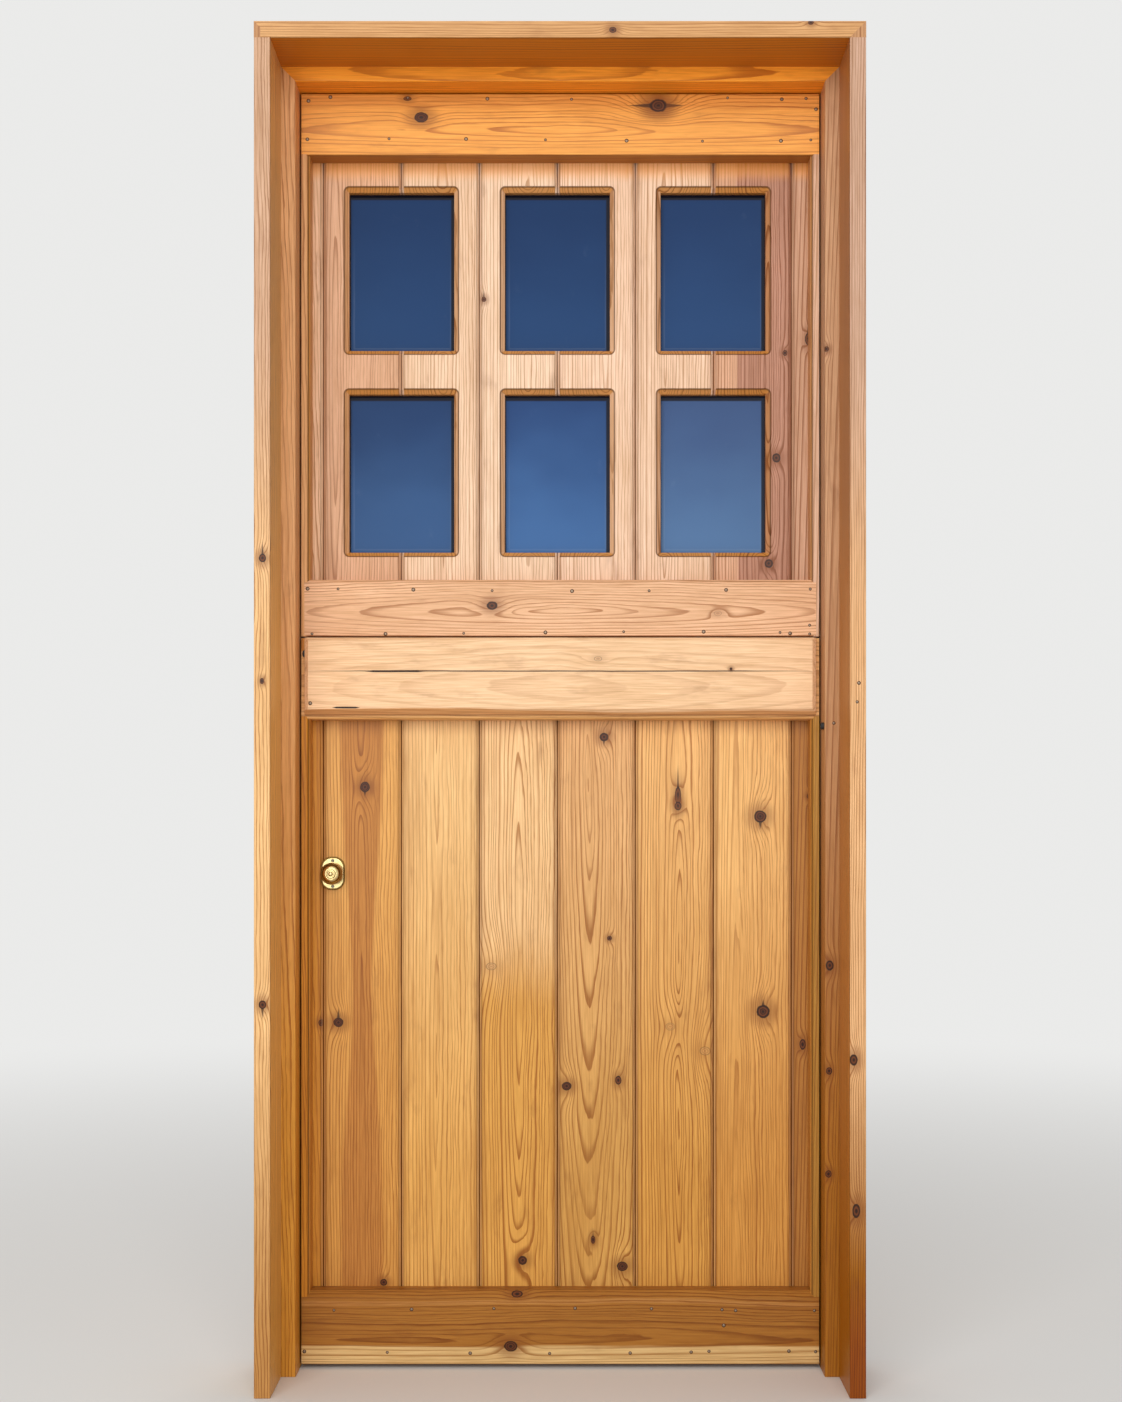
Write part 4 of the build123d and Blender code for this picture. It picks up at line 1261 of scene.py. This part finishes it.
@dataclass
class LowerLeaf:
    """The lower leaf: golden boards under an old weatherboard, with a heavy rail at each end, in metres."""

    rail_face: float = 0.026
    weatherboard_face: float = 0.012
    pitch_place: Point = (-0.4328, 0.026, 1.2066)
    pitch_half: Point = (0.0026, 0.0012, 0.0062)
    pitch_unevenness: float = 0.12

    def boards(self) -> list[Timber]:
        """Choose the boards' wood.

        Returns:
            The eight boards, from left to right.
        """
        planks = Planking("lower")
        heart = paint(187, 122, 54)
        return [
            planks.timber(1, paint(214, 143, 50), pith_across=-500, ring=4.5,
                          knots=(Knot(-408.5, 579.6, 4.2, 1.3),)),
            planks.timber(2, paint(230, 172, 94), foot=paint(214, 152, 72), pith_across=-338, pith_depth=-60,
                          ring=5.0, lean=12, apex=1000, waver=12, contrast=0.75,
                          streaks=(Streak(-338, 76, heart, 0.85, (620, 230, 0.55)),),
                          knots=(Knot(-333.7, 982.5, 7.7, 1.1, 1.0, 3.0, -18.0),
                                 Knot(-379.1, 580.4, 7.9, 0.95, 1.0, 2.4, 26.0),
                                 Knot(-301.7, 136.4, 5.5, 1.0))),
            planks.timber(3, paint(242, 196, 132), foot=paint(226, 168, 86), pith_across=-212, pith_depth=-60,
                          lean=30, apex=800, ring=6.0, contrast=0.75, waver=7),
            planks.timber(4, paint(240, 194, 136), foot=paint(218, 158, 74), pith_across=-70, pith_depth=-56,
                          lean=52, apex=700, ring=5.5, contrast=0.95, waver=12, foot_span=(760, 600),
                          knots=(Knot(-118, 676, 9, 0.7, 0.35, 4.4), Knot(-64.4, 174, 7.2, 1.0, 1.0, 3.4))),
            planks.timber(5, paint(228, 175, 116), foot=paint(210, 155, 78), pith_across=50, pith_depth=-58,
                          lean=60, apex=1100, ring=5.5, contrast=0.9, waver=12,
                          knots=(Knot(74.6, 1067.9, 7, 1.0, 1.0, 2.4, -16.0), Knot(84, 724.1, 3.8, 1.0),
                                 Knot(10.7, 471.7, 7.7, 0.9), Knot(98.9, 481.6, 5.0, 1.4),
                                 Knot(56, 209.2, 3.6, 1.8, 1.0, 2.4, 20.0), Knot(105.9, 163.7, 8.5, 0.9))),
            planks.timber(6, paint(236, 181, 112), foot=paint(213, 152, 68), pith_across=204, pith_depth=-58,
                          lean=46, apex=560, ring=5.5, contrast=0.95, waver=11,
                          knots=(Knot(201, 967, 5.0, 3.2, 0.9, 3.6, 62.0), Knot(201, 950, 5.5, 1.3, 0.8),
                                 Knot(187.9, 573.2, 8, 0.8, 0.3, 3.4), Knot(247.2, 531.5, 9, 0.8, 0.3, 3.8))),
            planks.timber(7, paint(242, 189, 118), foot=paint(212, 149, 68), pith_across=300, pith_depth=-50,
                          lean=14, ring=5.0, contrast=0.75,
                          knots=(Knot(341.5, 932.3, 10.0, 1.0, 1.0, 2.6, -24.0),
                                 Knot(346.4, 599, 10.6, 1.0, 1.0, 2.6, 22.0))),
            planks.timber(8, paint(178, 119, 52), pith_across=500, ring=4.5,
                          knots=(Knot(424.8, 966.6, 3.4, 1.2), Knot(413.9, 542.8, 5.0, 1.7))),
        ]

    def rails(self) -> dict[str, Timber]:
        """Choose the wood of the rails, strips and weatherboard.

        Returns:
            Each one's timber, by node.
        """
        return {
            "lower_lock_rail": Timber("lock_rail", Grain.LEVEL, paint(222, 168, 104), 41.0, pith_across=1165),
            "weatherboard": Timber(
                "weatherboard", Grain.LEVEL, paint(242, 199, 153), 44.0, ring=7.0, contrast=0.26,
                pith_across=1150, pith_depth=60, lean=40, waver=7, shine=0.5,
                streaks=(Streak(1106, 9, paint(196, 128, 56), 0.7),),
                knots=(Knot(63.5, 1197, 4.0, 1.6, 0.35, 4.4), Knot(287, 1180, 2.2, 1.0, 1.2)),
                cracks=(Crack(-440, 440, 1176.4, 0.95), Crack(-333, -222, 1176.0, 1.7),
                        Crack(-384, -336, 1114.9, 1.5)), edges=(1103.0,), edge_dark=0.4),
            "lower_bottom_rail": Timber(
                "bottom_rail", Grain.LEVEL, paint(164, 106, 38), 47.0, ring=6.0, contrast=0.75,
                pith_across=50, pith_depth=-12, lean=18, apex=-250, waver=9,
                streaks=(Streak(19, 40, paint(220, 182, 122), 0.95),
                         Streak(112, 8, paint(196, 138, 76), 0.4)),
                knots=(Knot(-83.7, 37.7, 8.4, 1.25), Knot(-73, 125, 4.5, 2.0, 1.0, 3.0)), edges=(7.0,)),
            "lower_strip_left": Timber("lower_strip_left", Grain.UPRIGHT, paint(200, 128, 34), 51.0,
                                       pith_across=-500, ring=4.0, face=27.0, thick=37.0),
            "lower_strip_right": Timber("lower_strip_right", Grain.UPRIGHT, paint(180, 128, 51), 53.0,
                                        pith_across=500, ring=4.0, face=27.0, thick=37.0),
        }

    def build(self, bench: Bench) -> None:
        """Dress the leaf and nail its rails.

        Args:
            bench: Where the pieces are dressed and made.
        """
        for number, timber in enumerate(self.boards(), start=1):
            bench.dress(f"lower_plank_{number}", timber.material())
        for node, timber in self.rails().items():
            bench.dress(node, timber.material())
        NailRows("lower_rail_nails", "lower_leaf", self.rail_face, (
            (99.8, (-382, -251, -112, 25, 154, 273, 296, 429)),
            (71, (276,)),
            (27.5, (-432, -292, -152, -18, 118, 221, 251, 386, 431)),
        )).build(bench)
        NailRows("weatherboard_nails", "lower_leaf", self.weatherboard_face,
                 ((1120.3, (-420.2,)),)).build(bench)
        self._pitch(bench)

    def _pitch(self, bench: Bench) -> None:
        """Put an uneven lump of pitch on the left strip.

        Args:
            bench: Where the piece is made.
        """
        mesh = bmesh.new()
        bmesh.ops.create_icosphere(mesh, subdivisions=3, radius=1.0)
        for vert in mesh.verts:
            wave = math.sin(5 * vert.co.x + 3 * vert.co.z) * math.cos(4 * vert.co.z)
            lump = 1 + self.pitch_unevenness * wave
            vert.co = Vector([half * value for half, value in zip(self.pitch_half, vert.co)]) * lump
        mesh.transform(Matrix.Translation(self.pitch_place))
        bench.add(mesh, "pitch_on_strip", "lower_leaf", "pine_strips", RUBBER.material(), smooth=True)


@dataclass
class UpperLeaf:
    """The upper leaf: pinkish boards round six windows, an orange top rail and a pale middle rail.

    Attributes:
        rail_face: The rails' face, in metres along Y.
        glass: Each pane's colour at the top and at the bottom, a painted reflection of the sky.
        cloud_step: How far apart the panes' painted reflected clouds are, so that no two are alike.
    """

    rail_face: float = 0.026
    glass: tuple[tuple[Colour, Colour], ...] = (
        (paint(18, 52, 98), paint(31, 67, 115)), (paint(18, 52, 98), paint(31, 67, 115)),
        (paint(23, 56, 103), paint(35, 71, 120)), (paint(32, 62, 108), paint(56, 92, 142)),
        (paint(38, 70, 122), paint(66, 108, 164)), (paint(62, 88, 134), paint(84, 120, 166)))
    cloud_step: float = 11.0

    def boards(self) -> list[Timber]:
        """Choose the boards' wood.

        Returns:
            The eight boards, from left to right.
        """
        planks = Planking("upper")
        return [
            planks.timber(1, paint(238, 192, 152), pith_across=-500, ring=4.5),
            planks.timber(2, paint(220, 171, 133), pith_across=-385, pith_depth=-52, lean=30, apex=1700),
            planks.timber(3, paint(238, 201, 166), pith_across=-200, pith_depth=-54, lean=30, apex=1500),
            planks.timber(4, paint(241, 206, 173), pith_across=-56, pith_depth=-50, lean=34, apex=1700,
                          knots=(Knot(-130.7, 1815.6, 3.9, 1.1, 1.0, 3.0, 20.0),)),
            planks.timber(5, paint(240, 202, 170), pith_across=78, pith_depth=-50, lean=30, apex=1900),
            planks.timber(6, paint(237, 199, 166), pith_across=178, pith_depth=-56, lean=40, apex=1600,
                          contrast=0.85),
            planks.timber(7, paint(184, 132, 106), pith_across=350, pith_depth=-54, lean=44, apex=1750,
                          contrast=0.95, streaks=(Streak(282, 44, paint(228, 178, 140), 0.75),),
                          knots=(Knot(383.8, 1724, 3.9, 1.2), Knot(369, 1544.7, 6.6, 1.15),
                                 Knot(356, 1364.3, 6.8, 1.0))),
            planks.timber(8, paint(202, 155, 123), pith_across=500, ring=4.5, contrast=0.95,
                          knots=(Knot(423.1, 1747.8, 5.0, 2.0, 0.9, 2.4, 34.0),)),
        ]

    def rails(self) -> dict[str, Timber]:
        """Choose the wood of the rails and strips.

        Returns:
            Each one's timber, by node.
        """
        return {
            "upper_top_rail": Timber(
                "top_rail", Grain.LEVEL, paint(239, 164, 73), 61.0, ring=6.0, contrast=0.7,
                pith_across=2092, pith_depth=-14, lean=34, waver=7,
                streaks=(Streak(2140, 26, paint(222, 144, 62), 0.5),),
                knots=(Knot(165.5, 2132, 10.5, 1.3, 1.0, 3.6, 46.0),
                       Knot(165.5, 2132, 9.5, 1.3, 0.9, 3.6, -56.0),
                       Knot(-234.6, 2112.1, 8.0, 1.4), Knot(-257.8, 2143.8, 3.6, 1.8, 0.8)), edges=(2048.0,)),
            "upper_bottom_rail": Timber(
                "middle_rail", Grain.LEVEL, paint(231, 181, 138), 64.0, ring=5.0, contrast=0.75,
                pith_across=1278, pith_depth=-18, lean=52, waver=6,
                knots=(Knot(-115.2, 1288, 6.6, 1.3, 1.0, 3.2), Knot(266, 1275, 4, 1.6, 0.25, 2.8)),
                edges=(1236.0,)),
            "upper_strip_left": Timber("upper_strip_left", Grain.UPRIGHT, paint(219, 161, 103), 67.0,
                                       pith_across=-500, ring=4.0, face=27.0, thick=37.0),
            "upper_strip_right": Timber("upper_strip_right", Grain.UPRIGHT, paint(220, 178, 146), 69.0,
                                        pith_across=500, ring=4.0, face=27.0, thick=37.0),
        }

    def build(self, bench: Bench) -> None:
        """Dress the leaf, glaze it and nail its rails.

        Args:
            bench: Where the pieces are dressed and made.
        """
        for number, timber in enumerate(self.boards(), start=1):
            bench.dress(f"upper_plank_{number}", timber.material())
        for node, timber in self.rails().items():
            bench.dress(node, timber.material())
        for number, (top, bottom) in enumerate(self.glass, start=1):
            low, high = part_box(f"pane_{number}")
            middle, half = (tuple((high[axis] + way * low[axis]) * (PER_METRE / 2) for axis in (0, 2))
                            for way in (1, -1))
            glass = Pane(f"window_glass_{number}", top, bottom, middle, half, self.cloud_step * number)
            bench.dress(f"pane_{number}", glass.material())
        beads = Timber("glazing_beads", Grain.UPRIGHT, paint(226, 172, 116), 71.0, ring=4.5, contrast=0.6)
        bench.dress("glazing_beads", beads.material())
        NailRows("upper_rail_nails", "upper_leaf", self.rail_face, (
            (2144.5, (-388, -257.5, -123, 19, 374, 415)),
            (2138, (-425,)), (2147, (282.5,)), (2124.5, (431.7,)),
            (2074, (-427, -289, -159, -25, 112, 240, 372.5, 423)),
            (1314.5, (-426.5, -375, -248, -115, 20, 150, 280, 422)),
            (1242, (-419, -295, -163, -25, 107, 242, 371, 388, 421)),
            (1256, (421,)),
        )).build(bench)


@dataclass
class Surround:
    """The frame with its casing boards and their corner fillers; the buffer is in metres.

    Attributes:
        buffer: Where the black buffer stands on the right reveal.
        buffer_radius: Its radius.
        buffer_height: How far it stands out.
        buffer_steps: How many sides it has.
        casing_side: Where the casing's sides start, in millimetres along Y.
        casing_thick: How deep those sides are, in millimetres.
    """

    buffer: Point = (0.4400, -0.008, 1.083)
    buffer_radius: float = 0.0060
    buffer_height: float = 0.0050
    buffer_steps: int = 24
    casing_side: float = -138.0
    casing_thick: float = 116.0

    def casing(self, name: str, grain: Grain, tone: Colour, seed: float, **looks: object) -> Timber:
        """The wood of one casing board.

        Args:
            name: The material's name.
            grain: Which way its fibres run.
            tone: Its early wood.
            seed: Which wood it is.
            **looks: What else sets it apart.

        Returns:
            The board's timber.
        """
        return Timber(name, grain, tone, seed, ring=4.0, pith_depth=150, face=self.casing_side,
                      thick=self.casing_thick, knot_face=CASING_FACE, **looks)

    def timbers(self) -> dict[str, Timber]:
        """Choose the wood of the frame and the casing.

        Returns:
            Each board's timber, by node.
        """
        return {
            "casing_left": self.casing(
                "casing_left", Grain.UPRIGHT, paint(208, 165, 131), 81.0, foot=paint(238, 188, 126),
                foot_span=(1750, 1150), base=0.50, pith_across=-575, lean=9, contrast=0.9, waver=12,
                deep_colour=paint(242, 188, 96), deep_share=0.64,
                knots=(Knot(-476, 1344.8, 5.5, 1.2, 1.0, 2.4, 30.0),
                       Knot(-476, 630, 5.5, 1.2, 1.0, 2.4, -26.0),
                       Knot(-476.8, 1148, 3.2, 1.4))),
            "casing_right": self.casing(
                "casing_right", Grain.UPRIGHT, paint(204, 163, 136), 83.0, foot=paint(228, 176, 122),
                foot_span=(1750, 1150), base=0.86, pith_across=565, lean=9, contrast=1.0, waver=12,
                deep_colour=paint(184, 114, 24), deep_share=0.74,
                knots=(Knot(470, 541.6, 6, 1.4), Knot(474, 300, 6, 1.8))),
            "casing_head": self.casing(
                "casing_head", Grain.LEVEL, paint(212, 159, 102), 85.0, deep_colour=paint(200, 114, 8),
                deep_share=0.94, pith_across=2290, lean=16,
                knots=(Knot(84.5, 2189.9, 4.5, 1.2), Knot(401.4, 2201.6, 3.5, 1.2))),
            "casing_corner_fillers": Timber(
                "corner_fillers", Grain.UPRIGHT, paint(190, 138, 92), 87.0, ring=4.0),
            "frame_jamb_left": Timber(
                "jamb_left", Grain.UPRIGHT, paint(228, 170, 114), 89.0, foot=paint(216, 150, 54),
                foot_span=(1500, 350), pith_across=-500, pith_depth=60, ring=4.5),
            "frame_jamb_right": Timber(
                "jamb_right", Grain.UPRIGHT, paint(204, 156, 115), 91.0, foot=paint(170, 107, 26),
                foot_span=(1600, 250), pith_across=500, pith_depth=60, ring=4.5, knot_face=JAMB_FACE,
                knots=(Knot(442.5, 1708.9, 4.2), Knot(448, 684, 6.0, 1.3), Knot(447, 508.8, 4.8, 1.2),
                       Knot(446, 337.4, 4.8, 1.2))),
            "frame_head": Timber(
                "frame_head", Grain.LEVEL, paint(250, 158, 44), 93.0, pith_across=2170, pith_depth=60,
                ring=5.0),
        }

    def build(self, bench: Bench) -> None:
        """Dress the surround, nail its casing and set the black buffer on the right reveal.

        Args:
            bench: Where the pieces are dressed and made.
        """
        for node, timber in self.timbers().items():
            bench.dress(node, timber.material())
        NailRows("casing_nails", "frame", CASING_FACE / PER_METRE,
                 ((1116, (475.5,)), (1144, (478.4,)))).build(bench)
        NailRows("jamb_nails", "frame", JAMB_FACE / PER_METRE, ((1087, (455.0,)),)).build(bench)
        mesh = bmesh.new()
        rim, tall = self.buffer_radius, self.buffer_height
        outline = ((0.0, 0.0), (1.0, 0.0), (1.0, 0.7), (0.85, 1.0), (0.5, 1.0), (0.45, 0.8), (0.0, 0.8))
        lathe(mesh, Vector((0, 0, 0)), [(rim * wide, tall * high) for wide, high in outline],
              self.buffer_steps)
        mesh.transform(Matrix.Translation(Vector(self.buffer)) @ Matrix.Rotation(-math.pi / 2, 4, "Z"))
        bench.add(mesh, "reveal_buffer", "frame", "black_iron", RUBBER.material())


@dataclass(frozen=True)
class Head:
    """A screw's head: its middle on the face it sits on, its size and which way it looks."""

    x: float
    y: float
    z: float
    radius: float
    height: float
    inside: bool


class Screws:
    """Slotted screws in place of the plain ones, each with its own turn of the slot."""

    NODES = {"frame_screws": "frame", "upper_screws": "upper_leaf", "lower_screws": "lower_leaf"}
    SEED = 17
    MERGE = 1e-6
    LEVEL = 1e-5
    RIM = 0.9
    STEPS = 24
    HALF_STEPS = 10
    SLOT = 0.14
    FLOOR = 0.45
    CROWN = ((0.62, 1.0), (0.84, 0.93), (1.0, 0.72))

    def __init__(self) -> None:
        """Seed the slots' turns."""
        self.random = random.Random(self.SEED)

    @staticmethod
    def heads(node: str) -> list[Head]:
        """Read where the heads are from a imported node's loose faces.

        Args:
            node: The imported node.

        Returns:
            One entry for each screw.
        """
        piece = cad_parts[node]
        mesh = bmesh.new()
        mesh.from_mesh(piece.data)
        mesh.transform(piece.matrix_world)
        bmesh.ops.remove_doubles(mesh, verts=mesh.verts, dist=Screws.MERGE)
        left = set(mesh.verts)
        found = []
        while left:
            found.append(Screws._measured(Screws._island(left)))
        mesh.free()
        return sorted(found, key=lambda head: (round(head.z, 4), round(head.x, 4)))

    @staticmethod
    def _island(left: set[bmesh.types.BMVert]) -> set[bmesh.types.BMVert]:
        """Take one joined group of points out of those that are left.

        Args:
            left: The points that belong to no group yet; the group is taken out of them.

        Returns:
            The group.
        """
        island, edge = set(), [left.pop()]
        while edge:
            vert = edge.pop()
            island.add(vert)
            for link in vert.link_edges:
                other = link.other_vert(vert)
                if other in left:
                    left.discard(other)
                    edge.append(other)
        return island

    @staticmethod
    def _measured(island: set[bmesh.types.BMVert]) -> Head:
        """Measure one screw's head.

        Args:
            island: The screw's points.

        Returns:
            Its head.
        """
        low = [min(vert.co[axis] for vert in island) for axis in range(3)]
        high = [max(vert.co[axis] for vert in island) for axis in range(3)]
        x, z = (low[0] + high[0]) / 2, (low[2] + high[2]) / 2
        radius = (high[0] - low[0]) / 2
        rim = radius * Screws.RIM
        wide = [vert.co.y for vert in island if math.hypot(vert.co.x - x, vert.co.z - z) > rim]
        inside = max(wide) > high[1] - Screws.LEVEL
        face = min(wide) if inside else max(wide)
        return Head(x, face, z, radius, max(wide) - min(wide), inside)

    def _head(self, mesh: bmesh.types.BMesh, head: Head) -> None:
        """Add one slotted head: a disc up to the slot's floor and a rounded half on either side of the slot.

        Args:
            mesh: The mesh to add to.
            head: Where the head is, and its size.
        """
        way = 1 if head.inside else -1
        turn = self.random.uniform(0, math.pi)
        floor = head.height * self.FLOOR
        slot = head.radius * self.SLOT
        lathe(mesh, Vector((head.x, head.y, head.z)),
              [(0.0, 0.0), (head.radius, 0.0), (head.radius, floor), (0.0, floor)], self.STEPS, head.inside)
        levels = [(floor, 1.0), *((head.height * tall, share) for tall, share in self.CROWN)]
        for side in (0, math.pi):
            rings = []
            for height, share in levels:
                radius = head.radius * share
                start = math.asin(slot / radius)
                ring = []
                for step in range(self.HALF_STEPS + 1):
                    angle = turn + side + start + (math.pi - 2 * start) * step / self.HALF_STEPS
                    ring.append(mesh.verts.new((head.x + radius * math.cos(angle), head.y + way * height,
                                                head.z + radius * math.sin(angle))))
                rings.append(ring)
            for first, second in zip(rings, rings[1:]):
                for step in range(self.HALF_STEPS):
                    mesh.faces.new((first[step], first[step + 1], second[step + 1], second[step]))
            mesh.faces.new(rings[-1])
            mesh.faces.new(rings[0][::-1])
            mesh.faces.new([ring[0] for ring in rings] + [ring[-1] for ring in reversed(rings)])

    def build(self, bench: Bench) -> None:
        """Build every screw.

        Args:
            bench: Where the pieces are made.
        """
        steel = SCREW.material()
        for node, body in self.NODES.items():
            mesh = bmesh.new()
            for head in self.heads(node):
                self._head(mesh, head)
            piece = bench.add(mesh, f"slotted_{node}", body, "screw_steel", steel)
            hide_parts(node)
            bench.dressed.add(node)


@dataclass
class Ironmongery:
    """Hinges, latch, tie bolt and knobs."""

    def build(self, bench: Bench) -> None:
        """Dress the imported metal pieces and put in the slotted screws.

        Args:
            bench: Where the pieces are dressed and made.
        """
        iron, brass = IRON.material(), BRASS.material()
        for place in ("upper_top", "upper_bottom", "lower_top", "lower_bottom"):
            bench.dress(f"hinge_band_{place}", iron)
            bench.dress(f"hinge_hook_{place}", iron)
        for node in ("latch_case", "latch_keeper", "tie_bolt_plate", "tie_bolt_keeper"):
            bench.dress(node, iron)
        for node in ("knob_outer", "knob_inner"):
            bench.dress(node, brass)
        bench.dress("knob_rosette", ROSETTE_BRASS.material())
        latch = LATCH_BRASS.material()
        for node in ("latch_bolt", "latch_follower"):
            bench.dress(node, latch)
        bench.dress("tie_bolt_rod", STEEL.material())
        Screws().build(bench)


@dataclass(frozen=True)
class Lamp:
    """A soft rectangular lamp, in metres and watts."""

    name: str
    place: Point
    aim: Point
    size: Span
    watts: float
    colour: Colour = (1.0, 1.0, 1.0)

    def hang(self) -> None:
        """Hang the lamp and point it at its aim."""
        data = bpy.data.lights.new(self.name, "AREA")
        data.shape = "RECTANGLE"
        data.size, data.size_y = self.size
        data.energy = self.watts
        data.color = self.colour
        lamp = bpy.data.objects.new(self.name, data)
        lamp.location = self.place
        lamp.rotation_euler = (Vector(self.aim) - Vector(self.place)).to_track_quat("-Z", "Y").to_euler()
        bpy.context.scene.collection.objects.link(lamp)


@dataclass
class Studio:
    """The floor and backdrop, the soft lights and the camera, in metres.

    Attributes:
        camera_place: Where the photograph was taken from.
        sensor_mm: The camera's sensor.
        focal_px: The photograph's focal length, in its own pixels.
        width_px: The photograph's width.
        height_px: Its height.
        centre_px: The pixel that the camera points at.
        floor_radius: How far the floor reaches.
        floor_steps: How many sides it has.
        floor_z: How high it lies.
        paper: Its own colour.
        sky: The backdrop's colour.
        sky_strength: The backdrop's strength.
        fade_mm: How far out the floor starts and ends turning into the backdrop.
        light: The colour of the light from all round.
        light_strength: Its strength.
        lamps: The lamps.
    """

    camera_place: Point = (0.008, -3.139, 0.9176)
    sensor_mm: float = 36
    focal_px: float = 1875.0
    width_px: int = 1122
    height_px: int = 1402
    centre_px: Span = (565.0, 825.0)
    floor_radius: float = 60.0
    floor_steps: int = 96
    floor_z: float = -0.0005
    paper: Colour = (0.80, 0.79, 0.77)
    sky: Colour = (0.90, 0.90, 0.89)
    sky_strength: float = 0.92
    fade_mm: Span = (900.0, 5200.0)
    light: Colour = (0.96, 0.96, 0.96)
    light_strength: float = 0.45
    lamps: tuple[Lamp, ...] = (
        Lamp("front_soft", (-0.7, -5.2, 2.8), (0, 0, 0.8), (5.0, 4.2), 216.0, (1.0, 0.985, 0.96)),
        Lamp("back_soft", (0.0, 4.0, 5.0), (0, 0, 1.0), (5.0, 3.0), 95.0))

    def camera(self) -> None:
        """Place the camera where the photograph was taken from."""
        data = bpy.data.cameras.new("camera")
        data.sensor_width = self.sensor_mm
        data.lens = self.sensor_mm * self.focal_px / self.height_px
        data.shift_x = (self.width_px / 2 - self.centre_px[0]) / self.height_px
        data.shift_y = (self.centre_px[1] - self.height_px / 2) / self.height_px
        camera = bpy.data.objects.new("camera", data)
        camera.location = self.camera_place
        camera.rotation_euler = (math.pi / 2, 0, 0)
        bpy.context.scene.collection.objects.link(camera)
        bpy.context.scene.camera = camera

    def floor(self) -> None:
        """Lay the wide pale floor."""
        mesh = bmesh.new()
        bmesh.ops.create_circle(mesh, cap_ends=True, segments=self.floor_steps, radius=self.floor_radius,
                                matrix=Matrix.Translation((0, 0, self.floor_z)))
        data = bpy.data.meshes.new("floor")
        mesh.to_mesh(data)
        mesh.free()
        data.materials.append(self._pale())
        floor = bpy.data.objects.new("floor", data)
        bpy.context.scene.collection.objects.link(floor)

    def _pale(self) -> bpy.types.Material:
        """Make a pale matt paper that turns into the backdrop far away, for the camera and in mirrors.

        Returns:
            The material.
        """
        recipe = Recipe("pale_paper")
        rays = recipe.node("ShaderNodeLightPath", {}, {})
        seen = Field(recipe, rays.outputs["Is Camera Ray"])
        for other in ("Is Glossy Ray", "Is Transmission Ray"):
            seen = seen.most(Field(recipe, rays.outputs[other]))
        reach = (recipe.x * recipe.x + recipe.y * recipe.y).root()
        paper = recipe.node("ShaderNodeBsdfDiffuse", {}, {"Color": self.paper})
        bright = recipe.node("ShaderNodeEmission", {}, {"Color": self.sky, "Strength": self.sky_strength})
        mixed = recipe.node("ShaderNodeMixShader", {}, {
            0: seen * reach.rise(*self.fade_mm), 1: paper.outputs[0], 2: bright.outputs[0]})
        recipe.node("ShaderNodeOutputMaterial", {}, {"Surface": mixed.outputs[0]})
        return recipe.material

    def world(self) -> None:
        """Light the object plainly from all round, and show the camera and mirrors the backdrop."""
        world = bpy.data.worlds.new("studio")
        world.use_nodes = True
        tree = world.node_tree
        plain, backdrop = tree.nodes["Background"], tree.nodes.new("ShaderNodeBackground")
        for node, colour, strength in ((plain, self.light, self.light_strength),
                                       (backdrop, self.sky, self.sky_strength)):
            node.inputs["Color"].default_value = (*colour, 1.0)
            node.inputs["Strength"].default_value = strength
        rays = tree.nodes.new("ShaderNodeLightPath")
        seen = rays.outputs["Is Camera Ray"]
        for other in ("Is Glossy Ray", "Is Transmission Ray"):
            most = tree.nodes.new("ShaderNodeMath")
            most.operation = "MAXIMUM"
            tree.links.new(seen, most.inputs[0])
            tree.links.new(rays.outputs[other], most.inputs[1])
            seen = most.outputs[0]
        mix = tree.nodes.new("ShaderNodeMixShader")
        for source, socket in zip((seen, plain.outputs[0], backdrop.outputs[0]), mix.inputs):
            tree.links.new(source, socket)
        tree.links.new(mix.outputs[0], tree.nodes["World Output"].inputs["Surface"])
        bpy.context.scene.world = world

    def build(self) -> None:
        """Set up the whole studio."""
        self.camera()
        self.floor()
        for lamp in self.lamps:
            lamp.hang()
        self.world()
        bpy.context.scene.view_settings.view_transform = "Standard"


def main() -> None:
    """Build the studio, then dress the door from its surround to its ironmongery."""
    logging.basicConfig(level=logging.INFO, format="%(name)s: %(message)s")
    Studio().build()
    bench = Bench()
    for assembly in (Surround(), UpperLeaf(), LowerLeaf(), Ironmongery()):
        assembly.build(bench)
        log.info("%s dressed", type(assembly).__name__)
    bare = sorted(set(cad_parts) - bench.dressed)
    log.info("nodes left bare: %s", bare or "none")


if __name__ == "__main__":
    main()
